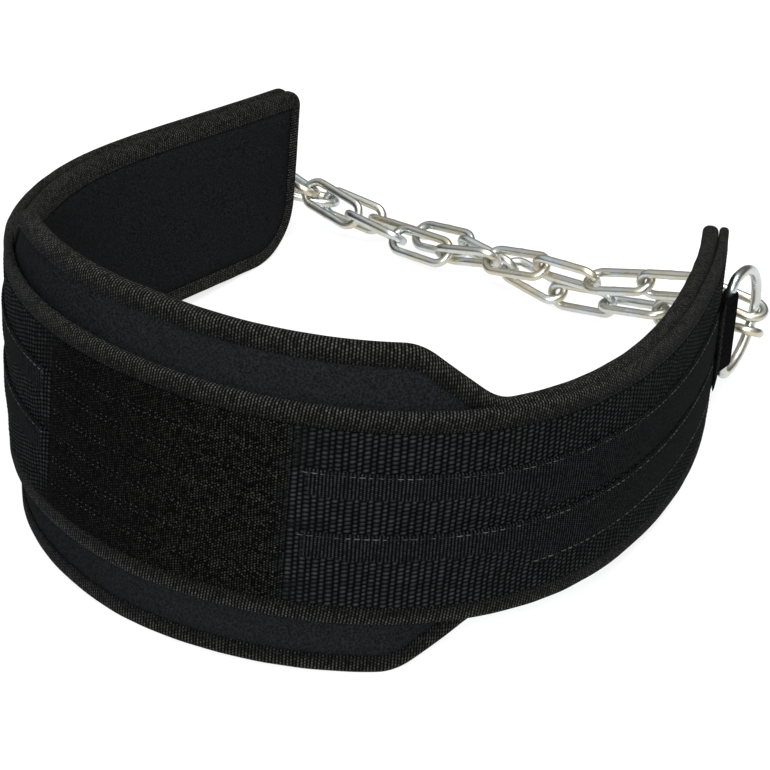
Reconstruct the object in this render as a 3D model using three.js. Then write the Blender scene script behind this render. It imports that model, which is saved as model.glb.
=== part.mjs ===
// A dip belt: a padded lifting belt that stands on its lower edge in a U, with a chain
// doubled between the D-rings at the ends of its wings. Millimetres, +Z up.
// The belt is laid out on a bent line: "along" runs from the left end to the right end with 0
// at the middle, "height" is measured from the middle of the band, and "depth" is measured
// outward from the groove between the inner pad (negative) and the outer band (positive).
import * as THREE from 'three';

// Driving dimensions of the belt
const BELT_LENGTH = 910;
const WING_HEIGHT = 105;
const LUMBAR_HEIGHT = 162.5;
const LUMBAR_LENGTH = 251;
const LUMBAR_MIDDLE = 5;
const FLARE_LENGTH = 40;
const FLARE_EASE = 0.2;
const TOP_END_RADIUS = 11;
const BOTTOM_END_RADIUS = 36;
const STATION_COUNT = 34;
const CORNER_STEPS = 5;

// Cloth thicknesses and widths
const CLEARANCE = 0.3;
const PAD_THICKNESS = 8.6;
const BAND_CORE = 2.2;
const TAPE_WALL = 1.1;
const TAPE_WIDTH = 9.5;
const TAPE_CHAMFER = 1.6;
const PAD_SHOULDER = 3;
const PANEL_LEFT = -57;
const PANEL_RIGHT = 78;
const PANEL_BASE = 1;
const PANEL_PUFF = 1.5;
const PANEL_ROWS = 7;
const PANEL_VALLEY = 1.6;
const WEBBING_THICKNESS = 1.4;
const STRAP_THICKNESS = 1.3;
const STRAP_WIDTH = 25;
const STRAP_SPREAD = 5.3;
const UPPER_STRAP_TOP = 24;
const REST_PRESS = 0.9;

// Rings and the strap loops that hold them: swing is how far a ring stands away from the wall
// of its wing, and lift how far it points up, both in degrees
const RING_WIRE = 5.6;
const RING_INSIDE_WIDTH = 54;
const RING_REACH = 39.5;
const RING_CORNER = 4;
const RING_SIDES = 8;
const RING_BOW_STEPS = 10;
const RING_CORNER_STEPS = 2;
const RING_SETBACK = 22;
const RING_HEIGHT = -1;
const TAB_HEIGHT = 44;
const TAB_RISE = 2;
const TAB_LENGTH = 35;
const TAB_JOIN = 13;
const TAB_ARC_STEPS = 6;
const TAB_WRAP = 105;
const RIGHT_RING = { side: 1, swing: 21, lift: 8 };
const LEFT_RING = { side: -1, swing: 17, lift: -10 };

// Chain
const LINK_WIRE = 5;
const LINK_INSIDE_LENGTH = 35;
const LINK_INSIDE_WIDTH = 10;
const LINK_SIDES = 6;
const LINK_ARC_STEPS = 5;
const CLASP_INSIDE_LENGTH = 44;
const CLASP_INSIDE_WIDTH = 12;

// The bend of the belt and the lean of its wall, at even shares of its length: turn is the
// curvature times the length, lean is in degrees, positive where the top leans outward.
const BEND = [
  { turn: -0.857, lean: -0.2 },
  { turn: 0.011, lean: 2 },
  { turn: 3.678, lean: 4.3 },
  { turn: 4.374, lean: 3.7 },
  { turn: 5.117, lean: 0.3 },
  { turn: 4.749, lean: -3.2 },
  { turn: 6.196, lean: -1.3 },
  { turn: 6.908, lean: 0.5 },
  { turn: 2.839, lean: 0.3 },
  { turn: 1.527, lean: -1.9 },
  { turn: 2.147, lean: -1.4 },
];

// The two strands of the chain hang between the bows of the rings, which they hold at a height
// from the middle of each bow; the left end of strand B is the clasp. A chosen point is a
// share of the way from the left bow to the right one, and lies back and down from there. Roll
// is that of the first link, and twist what the strand adds to its quarter turns by the last
// one, both in degrees.
const STRAND_A = {
  name: 'chain_a',
  clasped: false,
  leftHold: 0,
  rightHold: -6,
  roll: 110,
  twist: 56,
  route: [
    { share: 0.15, back: -1, drop: 13.5 },
    { share: 0.26, back: -2.5, drop: 19.5 },
    { share: 0.37, back: -4, drop: 22 },
    { share: 0.47, back: -5.5, drop: 16.8 },
    { share: 0.57, back: -6.1, drop: 9.5 },
    { share: 0.68, back: -7, drop: 10 },
    { share: 0.77, back: -7, drop: 4.3 },
    { share: 0.86, back: -6.1, drop: -4.1 },
    { share: 0.92, back: -5.1, drop: -6.5 },
  ],
};
const STRAND_B = {
  name: 'chain_b',
  clasped: true,
  leftHold: -13,
  rightHold: -17,
  roll: 98,
  twist: 102,
  route: [
    { share: 0.1, back: 21, drop: 6 },
    { share: 0.16, back: 25, drop: 10.5 },
    { share: 0.27, back: 22.5, drop: 12 },
    { share: 0.38, back: 19.6, drop: 7 },
    { share: 0.49, back: 17.6, drop: 11.6 },
    { share: 0.59, back: 15.8, drop: 20 },
    { share: 0.68, back: 16.2, drop: 17.5 },
    { share: 0.78, back: 16.1, drop: 13.2 },
    { share: 0.89, back: 14.2, drop: 7.1 },
  ],
};
const ROUTE_DIVISIONS = 800;

// Depths of the layers, from the groove outward
const PAD_OUTER = -CLEARANCE / 2;
const PAD_INNER = PAD_OUTER - PAD_THICKNESS;
const BAND_INNER = CLEARANCE / 2;
const BAND_CORE_INNER = BAND_INNER + TAPE_WALL + CLEARANCE;
const BAND_CORE_OUTER = BAND_CORE_INNER + BAND_CORE;
const BAND_OUTER = BAND_CORE_OUTER + CLEARANCE + TAPE_WALL;
const COVER_INNER = BAND_CORE_OUTER + CLEARANCE;
const WEBBING_OUTER = COVER_INNER + WEBBING_THICKNESS;
const STRAP_INNER = WEBBING_OUTER + CLEARANCE;
const STRAP_OUTER = STRAP_INNER + STRAP_THICKNESS;
const BAR_DEPTH = STRAP_OUTER + CLEARANCE + RING_WIRE / 2;

const radians = THREE.MathUtils.degToRad;
const END = BELT_LENGTH / 2;
const LINK_LAP = LINK_WIRE + CLEARANCE;
const RING_LAP = (RING_WIRE + LINK_WIRE) / 2 + CLEARANCE;

function bendAt(along, column) {
  const share = THREE.MathUtils.clamp(along / BELT_LENGTH + 0.5, 0, 1) * (BEND.length - 1);
  const row = Math.min(Math.floor(share), BEND.length - 2);
  return THREE.MathUtils.lerp(BEND[row][column], BEND[row + 1][column], share - row);
}

// The share of the lumbar's extra height at a place along the belt, eased at both ends
function lumbarShare(along) {
  const toEnd = LUMBAR_LENGTH / 2 + FLARE_LENGTH - Math.abs(along - LUMBAR_MIDDLE);
  const t = toEnd / FLARE_LENGTH;
  if (t <= -FLARE_EASE) return 0;
  if (t < FLARE_EASE) return (t + FLARE_EASE) ** 2 / (4 * FLARE_EASE);
  if (t <= 1 - FLARE_EASE) return t;
  if (t < 1 + FLARE_EASE) return 1 - (1 + FLARE_EASE - t) ** 2 / (4 * FLARE_EASE);
  return 1;
}

// Stations along the belt: even steps between the rounded ends, and the lines of the flares
function beltStations() {
  const evenEnd = END - BOTTOM_END_RADIUS - CLEARANCE;
  const flareLines = [];
  for (const side of [-1, 1]) {
    for (const foot of [0, FLARE_LENGTH]) {
      for (const ease of [-FLARE_EASE, 0, FLARE_EASE]) {
        const fromMiddle = LUMBAR_LENGTH / 2 + foot + ease * FLARE_LENGTH;
        flareLines.push(LUMBAR_MIDDLE + side * fromMiddle);
      }
    }
  }
  const spacing = (2 * evenEnd) / STATION_COUNT;
  const even = Array.from({ length: STATION_COUNT + 1 }, (_, i) => -evenEnd + i * spacing);
  const clear = even.filter((s) => flareLines.every((line) => Math.abs(line - s) > spacing / 4));
  return [-END, ...clear, ...flareLines, END].sort((a, b) => a - b);
}

// The plan of the belt at its stations: each has its place in plan, heading and wall slope
function beltPlan(stations) {
  const step = 1;
  const plan = [];
  let [heading, x, y, along] = [0, 0, 0, -END];
  for (const station of stations) {
    while (along < station - 1e-9) {
      const advance = Math.min(step, station - along);
      const turn = (bendAt(along + advance / 2, 'turn') / BELT_LENGTH) * advance;
      x += Math.cos(heading + turn / 2) * advance;
      y += Math.sin(heading + turn / 2) * advance;
      heading += turn;
      along += advance;
    }
    plan.push({ along: station, x, y, heading, slope: Math.tan(radians(bendAt(station, 'lean'))) });
  }
  return plan;
}

// The plan turned and moved so that the middle of the belt faces -Y at the origin
function centredPlan(plan) {
  const i = plan.findIndex((p) => p.along >= 0);
  const t = (0 - plan[i - 1].along) / (plan[i].along - plan[i - 1].along);
  const middle = (name) => THREE.MathUtils.lerp(plan[i - 1][name], plan[i][name], t);
  const [x0, y0, turn] = [middle('x'), middle('y'), middle('heading')];
  return plan.map((p) => {
    const [dx, dy] = [p.x - x0, p.y - y0];
    const heading = p.heading - turn;
    return {
      ...p,
      x: dx * Math.cos(turn) + dy * Math.sin(turn),
      y: -dx * Math.sin(turn) + dy * Math.cos(turn),
      nx: Math.sin(heading),
      ny: -Math.cos(heading),
    };
  });
}

const STATIONS = beltStations();
const PLAN = centredPlan(beltPlan(STATIONS));

// A point of the belt. Between stations everything is a straight blend, so that layers that
// end between stations still lie flat on each other.
function place(along, height, depth) {
  const found = PLAN.findIndex((p) => p.along >= along);
  const i = THREE.MathUtils.clamp(found < 0 ? PLAN.length - 1 : found, 1, PLAN.length - 1);
  const [a, b] = [PLAN[i - 1], PLAN[i]];
  const t = (along - a.along) / (b.along - a.along);
  const at = (p) => {
    const reach = depth + height * p.slope;
    return new THREE.Vector3(p.x + p.nx * reach, p.y + p.ny * reach, height);
  };
  return at(a).lerp(at(b), t);
}

function stationsBetween(from, to) {
  const inner = STATIONS.filter((s) => s > from + CLEARANCE && s < to - CLEARANCE);
  return [from, ...inner, to];
}

// Cloth is pressed flat where it rests: the floor is set later, from the tilt of the belt
const rest = { tilt: 0, floor: -Infinity };

function pressed(point) {
  const cos = Math.cos(rest.tilt);
  const level = point.z * cos - point.y * Math.sin(rest.tilt);
  if (level < rest.floor) point.z += (rest.floor - level) / cos;
  return point;
}

// A closed body from rings of points; outline is the first ring's flat shape, for the caps.
// The quads of all layers of the belt are split the same way, from low to high.
function bodyFromRings(rings, closed, outline) {
  const count = rings[0].length;
  const indices = [];
  const spans = closed ? rings.length : rings.length - 1;
  for (let i = 0; i < spans; i++) {
    const next = (i + 1) % rings.length;
    for (let j = 0; j < count; j++) {
      const k = (j + 1) % count;
      const [a, b, c, d] = [i * count + j, i * count + k, next * count + k, next * count + j];
      if (rings[i][j].z < rings[i][k].z) indices.push(a, b, c, a, c, d);
      else indices.push(a, b, d, b, c, d);
    }
  }
  if (!closed) {
    const sense = Math.sign(THREE.ShapeUtils.area(outline));
    const last = (rings.length - 1) * count;
    for (const [a, b, c] of THREE.ShapeUtils.triangulateShape(outline, [])) {
      const same = Math.sign(THREE.ShapeUtils.area([outline[a], outline[b], outline[c]])) === sense;
      const [p, q] = same ? [b, c] : [c, b];
      indices.push(a, q, p);
      indices.push(last + a, last + p, last + q);
    }
  }
  const points = rings.flat();
  const geometry = new THREE.BufferGeometry();
  const values = points.flatMap((p) => [p.x, p.y, p.z]);
  geometry.setAttribute('position', new THREE.Float32BufferAttribute(values, 3));
  geometry.setIndex(signedVolume(points, indices) < 0 ? indices.reverse() : indices);
  geometry.computeVertexNormals();
  return geometry;
}

function signedVolume(points, indices) {
  let volume = 0;
  const cross = new THREE.Vector3();
  for (let i = 0; i < indices.length; i += 3) {
    const [a, b, c] = [points[indices[i]], points[indices[i + 1]], points[indices[i + 2]]];
    volume += a.dot(cross.crossVectors(b, c)) / 6;
  }
  return volume;
}

const padHalf = (along) => (WING_HEIGHT + (LUMBAR_HEIGHT - WING_HEIGHT) * lumbarShare(along)) / 2;
const bandHalf = () => WING_HEIGHT / 2;

// The steps of a rounded corner: how far each lies from the end and from the edge
function cornerPoints(radius) {
  return Array.from({ length: CORNER_STEPS + 1 }, (_, i) => {
    const angle = ((i / CORNER_STEPS) * Math.PI) / 2;
    return { fromEnd: radius * (1 - Math.cos(angle)), fromEdge: radius * (1 - Math.sin(angle)) };
  });
}

// How far a rounded corner draws in an edge, straight between the corner's steps
function cornerDraw(radius, fromEnd) {
  if (fromEnd >= radius) return 0;
  const points = cornerPoints(radius);
  const i = Math.max(points.findIndex((p) => p.fromEnd > fromEnd), 1);
  const [a, b] = [points[i - 1], points[i]];
  const t = Math.max((fromEnd - a.fromEnd) / (b.fromEnd - a.fromEnd), 0);
  return THREE.MathUtils.lerp(a.fromEdge, b.fromEdge, t);
}

// The height that takes one millimetre in from an edge of the belt where it slopes
function slopeHeight(half, along) {
  return Math.hypot(1, (half(along + CLEARANCE) - half(along - CLEARANCE)) / (2 * CLEARANCE));
}

// The top and bottom of a layer that keeps an inset from the edge of the belt
function layerEdges(half, inset, along) {
  const fromEnd = Math.max(END - inset - Math.abs(along), 0);
  const reach = half(along) - inset * slopeHeight(half, along);
  return [
    reach - cornerDraw(Math.max(TOP_END_RADIUS - inset, 0), fromEnd),
    cornerDraw(Math.max(BOTTOM_END_RADIUS - inset, 0), fromEnd) - reach,
  ];
}

// Places along the belt where a layer needs a line: its stations, those of its rounded ends
// and any extra ones, given by their distance from the belt's end
function layerLines(from, to, inset, extra = []) {
  const corners = [TOP_END_RADIUS, BOTTOM_END_RADIUS]
    .flatMap((radius) => cornerPoints(Math.max(radius - inset, 0)))
    .map((p) => p.fromEnd + inset);
  const lines = [...corners, ...extra].flatMap((d) => [d - END, END - d]);
  const inside = lines.filter((s) => s > from && s < to);
  const sorted = [...stationsBetween(from, to), ...inside].sort((a, b) => a - b);
  return sorted.filter((s, i) => i === 0 || s - sorted[i - 1] > CLEARANCE / 2);
}

// A layer of the belt: section gives its outline at each of its lines
function layer(lines, section) {
  const sections = lines.map(section);
  const rings = lines.map((s, i) => sections[i].map(([h, d]) => pressed(place(s, h, d))));
  return bodyFromRings(rings, false, sections[0].map(([h, d]) => new THREE.Vector2(h, d)));
}

const CORE_INSET = TAPE_WALL + CLEARANCE;
const CORE_END = END - CORE_INSET;

// The pad: full thickness, drawn in at the shoulder where its edge goes into the tape
function padBody() {
  const capped = CORE_INSET + TAPE_WALL;
  const taped = TAPE_WIDTH + CLEARANCE;
  const full = taped + PAD_SHOULDER;
  const section = (s) => {
    const [top, bottom] = layerEdges(padHalf, CORE_INSET, s);
    const [tapedTop, tapedBottom] = layerEdges(padHalf, taped, s);
    const [fullTop, fullBottom] = layerEdges(padHalf, full, s);
    const uppers = [top, Math.min(tapedTop, top - CLEARANCE), Math.min(fullTop, top - 2 * CLEARANCE)];
    const lowers = [
      bottom, Math.max(tapedBottom, bottom + CLEARANCE), Math.max(fullBottom, bottom + 2 * CLEARANCE),
    ];
    const swell = THREE.MathUtils.clamp((END - taped - Math.abs(s)) / PAD_SHOULDER, 0, 1) * CORE_INSET;
    const thin = CORE_INSET + Math.max(TAPE_WALL - (CORE_END - Math.abs(s)), 0);
    const depths = (side, face) => [capped, thin, thin - swell].map((inset) => face + side * inset);
    const outer = depths(-1, PAD_OUTER);
    const inner = depths(1, PAD_INNER);
    return [
      ...uppers.map((h, i) => [h, inner[i]]),
      ...lowers.map((h, i) => [h, inner[i]]).reverse(),
      ...lowers.map((h, i) => [h, outer[i]]),
      ...uppers.map((h, i) => [h, outer[i]]).reverse(),
    ];
  };
  return layer(layerLines(-CORE_END, CORE_END, CORE_INSET, [capped, taped, full]), section);
}

function flatSection(edges, inner, outer) {
  return (s) => {
    const [top, bottom] = edges(s);
    return [[top, outer], [top, inner], [bottom, inner], [bottom, outer]];
  };
}

function bandBody() {
  const edges = (s) => layerEdges(bandHalf, CORE_INSET, s);
  const lines = layerLines(-CORE_END, CORE_END, CORE_INSET);
  return layer(lines, flatSection(edges, BAND_CORE_INNER, BAND_CORE_OUTER));
}

// The path of an edge round the belt: along, height and the way in from the edge
function edgePath(half) {
  const straight = STATIONS.filter((s) => Math.abs(s) < END - BOTTOM_END_RADIUS);
  const edge = (side) => straight.map((s) => (
    { along: s, height: side * half(s), inAlong: 0, inHeight: -side * slopeHeight(half, s) }
  ));
  const corner = (endSide, side) => {
    const radius = side > 0 ? TOP_END_RADIUS : BOTTOM_END_RADIUS;
    return cornerPoints(radius).map(({ fromEnd, fromEdge }) => ({
      along: endSide * (END - fromEnd),
      height: side * (WING_HEIGHT / 2 - fromEdge),
      inAlong: (-endSide * (radius - fromEnd)) / radius,
      inHeight: (-side * (radius - fromEdge)) / radius,
    }));
  };
  return [
    ...edge(1), ...corner(1, 1).reverse(), ...corner(1, -1),
    ...edge(-1).reverse(), ...corner(-1, -1).reverse(), ...corner(-1, 1),
  ];
}

// The tape folded round an edge: a channel section swept along the edge's path
function tape(half, section) {
  const rings = edgePath(half).map((p) => section.map(([inset, depth]) =>
    pressed(place(p.along + p.inAlong * inset, p.height + p.inHeight * inset, depth))));
  return bodyFromRings(rings, true);
}

// A square channel, or one with its outer corners taken off and its inner ones filled to match
function tapeSection(outer, inner, chamfer) {
  const fill = chamfer > 0 ? chamfer + (Math.SQRT2 - 2) * TAPE_WALL : 0;
  const corner = (inset, depth, side, cut) =>
    (cut > 0 ? [[inset + cut, depth], [inset, depth + side * cut]] : [[inset, depth]]);
  return [
    [TAPE_WIDTH, outer],
    ...corner(0, outer, -1, chamfer),
    ...corner(0, inner, 1, chamfer).reverse(),
    [TAPE_WIDTH, inner],
    [TAPE_WIDTH, inner + TAPE_WALL],
    ...corner(TAPE_WALL, inner + TAPE_WALL, 1, fill),
    ...corner(TAPE_WALL, outer - TAPE_WALL, -1, fill).reverse(),
    [TAPE_WIDTH, outer - TAPE_WALL],
  ];
}

// Covers lie on the band inside its tape
const COVER_INSET = TAPE_WIDTH + CLEARANCE;
const COVER_END = END - COVER_INSET;
const coverEdges = (s) => layerEdges(bandHalf, COVER_INSET, s);

function cover(from, to, section) {
  return layer(layerLines(from, to, COVER_INSET), section);
}

// The quilted panel: rows that puff between narrow sewn valleys
function panelSection(s) {
  const [top, bottom] = coverEdges(s);
  const low = COVER_INNER + PANEL_BASE;
  const crest = low + PANEL_PUFF;
  const shoulder = crest - PANEL_PUFF / 3;
  const row = (top - bottom) / PANEL_ROWS;
  const outer = Array.from({ length: PANEL_ROWS }, (_, i) => {
    const h = top - i * row;
    return [
      [h, low], [h - PANEL_VALLEY, shoulder], [h - row / 2, crest], [h - row + PANEL_VALLEY, shoulder],
    ];
  }).flat();
  return [[top, COVER_INNER], ...outer, [bottom, low], [bottom, COVER_INNER]];
}

const RING_ALONG = END - RING_SETBACK;
const TAB_START = RING_ALONG - TAB_LENGTH;
const STRAP_START = { left: PANEL_LEFT - CLEARANCE, right: PANEL_RIGHT + CLEARANCE };

// The two straps lie apart at the panel and come together at the ring's tab
function strapEdges(upper) {
  return (s) => {
    if (upper) return [UPPER_STRAP_TOP, UPPER_STRAP_TOP - STRAP_WIDTH];
    const start = s > 0 ? STRAP_START.right : -STRAP_START.left;
    const share = (TAB_START - Math.abs(s)) / (TAB_START - start);
    const top = UPPER_STRAP_TOP - STRAP_WIDTH - CLEARANCE - STRAP_SPREAD * share;
    return [top, top - STRAP_WIDTH];
  };
}

// The directions at a ring: from its bar to its bow, and up the bar
function ringFrame(ring) {
  const along = ring.side * RING_ALONG;
  const centre = place(along, RING_HEIGHT, BAR_DEPTH);
  const toEnd = place(along + ring.side, RING_HEIGHT, BAR_DEPTH).sub(centre).normalize();
  const up = place(along, RING_HEIGHT + 1, BAR_DEPTH).sub(centre).normalize();
  const outward = place(along, RING_HEIGHT, BAR_DEPTH + 1).sub(centre);
  outward.addScaledVector(up, -outward.dot(up)).normalize();
  const lift = radians(ring.lift);
  const swing = radians(ring.swing);
  const bar = up.clone().multiplyScalar(Math.cos(lift)).addScaledVector(toEnd, -Math.sin(lift));
  const lifted = toEnd.clone().multiplyScalar(Math.cos(lift)).addScaledVector(up, Math.sin(lift));
  const reach = lifted.multiplyScalar(Math.cos(swing)).addScaledVector(outward, Math.sin(swing));
  return { centre, bar, reach };
}

// A closed tube round a flat loop of [x, y] points on two axes
function loopTube(loop, centre, xAxis, yAxis, radius, sides) {
  const normal = new THREE.Vector3().crossVectors(xAxis, yAxis).normalize();
  const points = loop.map(([x, y]) => centre.clone().addScaledVector(xAxis, x).addScaledVector(yAxis, y));
  const rings = points.map((point, i) => {
    const into = point.clone().sub(points.at(i - 1)).normalize();
    const away = points[(i + 1) % points.length].clone().sub(point).normalize();
    const tangent = into.clone().add(away).normalize();
    const across = new THREE.Vector3().crossVectors(tangent, normal).divideScalar(tangent.dot(into));
    return Array.from({ length: sides }, (_, j) => {
      const angle = (2 * Math.PI * (j + 0.5)) / sides;
      return point.clone()
        .addScaledVector(across, radius * Math.cos(angle))
        .addScaledVector(normal, radius * Math.sin(angle));
    });
  });
  return bodyFromRings(rings, true);
}

function arcPoints(x, y, radius, from, to, steps) {
  return Array.from({ length: steps + 1 }, (_, i) => {
    const angle = radians(THREE.MathUtils.lerp(from, to, i / steps));
    return [x + radius * Math.cos(angle), y + radius * Math.sin(angle)];
  });
}

const BOW_RADIUS = (RING_INSIDE_WIDTH + RING_WIRE) / 2;

// The D of a ring: x reaches away from the straight bar, y runs up it
function ringLoop() {
  const corner = BOW_RADIUS - RING_CORNER;
  return [
    ...arcPoints(RING_REACH - BOW_RADIUS, 0, BOW_RADIUS, -90, 90, RING_BOW_STEPS),
    ...arcPoints(RING_CORNER, corner, RING_CORNER, 90, 180, RING_CORNER_STEPS),
    ...arcPoints(RING_CORNER, -corner, RING_CORNER, 180, 270, RING_CORNER_STEPS),
  ];
}

function ringBody(ring) {
  const { centre, bar, reach } = ringFrame(ring);
  return loopTube(ringLoop(), centre, reach, bar, RING_WIRE / 2, RING_SIDES);
}

// The middle of a ring's bow wire, at a height along it from its furthest point
function bowPoint(ring, height) {
  const { centre, bar, reach } = ringFrame(ring);
  const away = RING_REACH - BOW_RADIUS + Math.sqrt(BOW_RADIUS ** 2 - height ** 2);
  return centre.addScaledVector(reach, away).addScaledVector(bar, height);
}

// The tab: one strap that lies on the wing, goes round the ring's bar and comes back on itself
function tabOutline() {
  const half = STRAP_THICKNESS / 2;
  const middle = RING_WIRE / 2 + CLEARANCE + half;
  const lower = BAR_DEPTH - middle;
  const upper = lower + STRAP_THICKNESS + CLEARANCE;
  const laid = stationsBetween(TAB_START, RING_ALONG);
  const back = laid.filter((s) => s < RING_ALONG - TAB_JOIN - CLEARANCE);
  const path = [
    ...laid.slice(0, -1).map((s) => [s, lower]),
    ...arcPoints(RING_ALONG, BAR_DEPTH, middle, -90, TAB_WRAP, TAB_ARC_STEPS),
    [RING_ALONG - TAB_JOIN, upper],
    ...back.map((s) => [s, upper]).reverse(),
  ].map(([x, y]) => new THREE.Vector2(x, y));
  const sides = path.map((point, i) => {
    const next = path[Math.min(i + 1, path.length - 1)];
    const before = path[Math.max(i - 1, 0)];
    const into = (i > 0 ? point.clone().sub(before) : next.clone().sub(point)).normalize();
    const away = (i < path.length - 1 ? next.clone().sub(point) : point.clone().sub(before)).normalize();
    const tangent = into.clone().add(away).normalize();
    return new THREE.Vector2(-tangent.y, tangent.x).multiplyScalar(half / tangent.dot(into));
  });
  const left = path.map((point, i) => point.clone().add(sides[i]));
  const right = path.map((point, i) => point.clone().sub(sides[i]));
  return [...left, ...right.reverse()];
}

function tabBody(ring) {
  const outline = tabOutline();
  const skew = Math.tan(radians(ring.lift));
  const edge = (height) => outline.map((p) => {
    const share = THREE.MathUtils.clamp((p.x - TAB_START) / TAB_LENGTH, 0, 1);
    return place(ring.side * (p.x - share * height * skew), RING_HEIGHT + height, p.y);
  });
  const rings = [edge(TAB_RISE - TAB_HEIGHT / 2), edge(TAB_RISE + TAB_HEIGHT / 2)];
  return bodyFromRings(rings, false, outline);
}

// A link of the chain round its middle, long on its axis
function linkBody({ middle, axis, roll, insideLength, insideWidth }) {
  const radius = (insideWidth + LINK_WIRE) / 2;
  const reach = (insideLength + LINK_WIRE) / 2;
  const loop = [
    ...arcPoints(reach - radius, 0, radius, -90, 90, LINK_ARC_STEPS),
    ...arcPoints(radius - reach, 0, radius, 90, 270, LINK_ARC_STEPS),
  ];
  const side = new THREE.Vector3(0, 0, 1).cross(axis).normalize();
  const rise = new THREE.Vector3().crossVectors(axis, side);
  const width = rise.multiplyScalar(Math.cos(radians(roll))).addScaledVector(side, Math.sin(radians(roll)));
  return loopTube(loop, middle, axis, width, LINK_WIRE / 2, LINK_SIDES);
}

const LINK = { insideLength: LINK_INSIDE_LENGTH, insideWidth: LINK_INSIDE_WIDTH };
const CLASP = { insideLength: CLASP_INSIDE_LENGTH, insideWidth: CLASP_INSIDE_WIDTH };

// A strand: links along its route, lapped evenly so that the first and last hold the bows
function strandLinks(strand) {
  const left = bowPoint(LEFT_RING, strand.leftHold);
  const right = bowPoint(RIGHT_RING, strand.rightHold);
  const chosen = strand.route.map(({ share, back, drop }) =>
    left.clone().lerp(right, share).add(new THREE.Vector3(0, back, -drop)));
  const curve = new THREE.CatmullRomCurve3([left, ...chosen, right]);
  curve.arcLengthDivisions = ROUTE_DIVISIONS;
  const routeLength = curve.getLength();
  const at = (distance) => {
    const t = THREE.MathUtils.clamp(distance / routeLength, 0, 1);
    return curve.getPointAt(t).addScaledVector(curve.getTangentAt(t), distance - t * routeLength);
  };
  const first = strand.clasped ? CLASP : LINK;
  const firstTail = first.insideLength + LINK_WIRE - RING_LAP;
  const remaining = routeLength + RING_LAP - firstTail;
  const more = Math.ceil(remaining / (LINK_INSIDE_LENGTH + LINK_WIRE - LINK_LAP));
  return Array.from({ length: more + 1 }, (_, i) => {
    const size = i === 0 ? first : LINK;
    const distance = firstTail + (i * remaining) / more;
    const head = at(distance - size.insideLength - LINK_WIRE);
    const tail = at(distance);
    const number = String(strand.clasped ? i : i + 1).padStart(2, '0');
    return {
      ...size,
      name: size === CLASP ? 'chain_clasp' : `${strand.name}_${number}`,
      middle: head.clone().lerp(tail, 0.5),
      axis: tail.clone().sub(head).normalize(),
      roll: strand.roll + i * (90 + strand.twist / more),
    };
  });
}

const cloth = (color, roughness) => new THREE.MeshStandardMaterial({ color, roughness, metalness: 0 });
const zinc = () => new THREE.MeshStandardMaterial({ color: 0xb9bec2, roughness: 0.28, metalness: 1 });

function named(name, geometry, material) {
  const mesh = new THREE.Mesh(geometry, material);
  mesh.name = name;
  return mesh;
}

function clothMeshes() {
  const padTape = tapeSection(PAD_OUTER, PAD_INNER, TAPE_CHAMFER);
  const bandTape = tapeSection(BAND_OUTER, BAND_INNER, 0);
  const meshes = [
    named('inner_pad', padBody(), cloth(0x15151a, 0.9)),
    named('inner_pad_binding', tape(padHalf, padTape), cloth(0x1c1b1a, 0.8)),
    named('outer_band', bandBody(), cloth(0x121214, 0.85)),
    named('outer_band_binding', tape(bandHalf, bandTape), cloth(0x1c1b1a, 0.8)),
    named('lumbar_panel', cover(PANEL_LEFT, PANEL_RIGHT, panelSection), cloth(0x161616, 0.85)),
  ];
  const strapEnd = TAB_START - CLEARANCE;
  for (const [side, webbingSpan, strapSpan] of [
    ['right', [STRAP_START.right, COVER_END], [STRAP_START.right, strapEnd]],
    ['left', [-COVER_END, STRAP_START.left], [-strapEnd, STRAP_START.left]],
  ]) {
    const webbing = cover(...webbingSpan, flatSection(coverEdges, COVER_INNER, WEBBING_OUTER));
    meshes.push(named(`webbing_${side}`, webbing, cloth(0x17171a, 0.6)));
    for (const [level, upper] of [['upper', true], ['lower', false]]) {
      const strap = cover(...strapSpan, flatSection(strapEdges(upper), STRAP_INNER, STRAP_OUTER));
      meshes.push(named(`${level}_strap_${side}`, strap, cloth(0x17171b, 0.6)));
    }
  }
  return meshes;
}

function ringMeshes() {
  return [['right', RIGHT_RING], ['left', LEFT_RING]].flatMap(([side, ring]) => [
    named(`ring_tab_${side}`, tabBody(ring), cloth(0x131316, 0.7)),
    named(`ring_${side}`, ringBody(ring), zinc()),
  ]);
}

function meshPoints(mesh) {
  const position = mesh.geometry.getAttribute('position');
  const point = (i) => new THREE.Vector3().fromBufferAttribute(position, i);
  return Array.from({ length: position.count }, (_, i) => point(i));
}

// The tilt at which the front of the lumbar and the ends of the wings touch the floor together
function restTilt(points) {
  const between = PLAN[0].y / 2;
  const halves = [points.filter((p) => p.y < between), points.filter((p) => p.y >= between)];
  const lowest = (half, tilt) =>
    Math.min(...half.map((p) => p.z * Math.cos(tilt) - p.y * Math.sin(tilt)));
  let [low, high] = [0, Math.PI / 6];
  for (let i = 0; i < 40; i++) {
    const tilt = (low + high) / 2;
    if (lowest(halves[0], tilt) < lowest(halves[1], tilt)) low = tilt;
    else high = tilt;
  }
  return { tilt: low, lowest: lowest(points, low) };
}

const standing = restTilt(clothMeshes().flatMap(meshPoints));
rest.tilt = standing.tilt;
rest.floor = standing.lowest + REST_PRESS;

const belt = new THREE.Group();
belt.add(...clothMeshes(), ...ringMeshes());
for (const link of [STRAND_A, STRAND_B].flatMap(strandLinks)) {
  belt.add(named(link.name, linkBody(link), zinc()));
}
belt.rotation.x = -rest.tilt;

// The whole belt stands at z = 0 with the middle of its box over the origin
const dipBelt = new THREE.Group();
dipBelt.add(belt);
dipBelt.updateMatrixWorld(true);
const box = new THREE.Box3().setFromObject(dipBelt, true);
const middle = box.getCenter(new THREE.Vector3());
belt.position.set(-middle.x, -middle.y, -box.min.z);

export default dipBelt;
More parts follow.
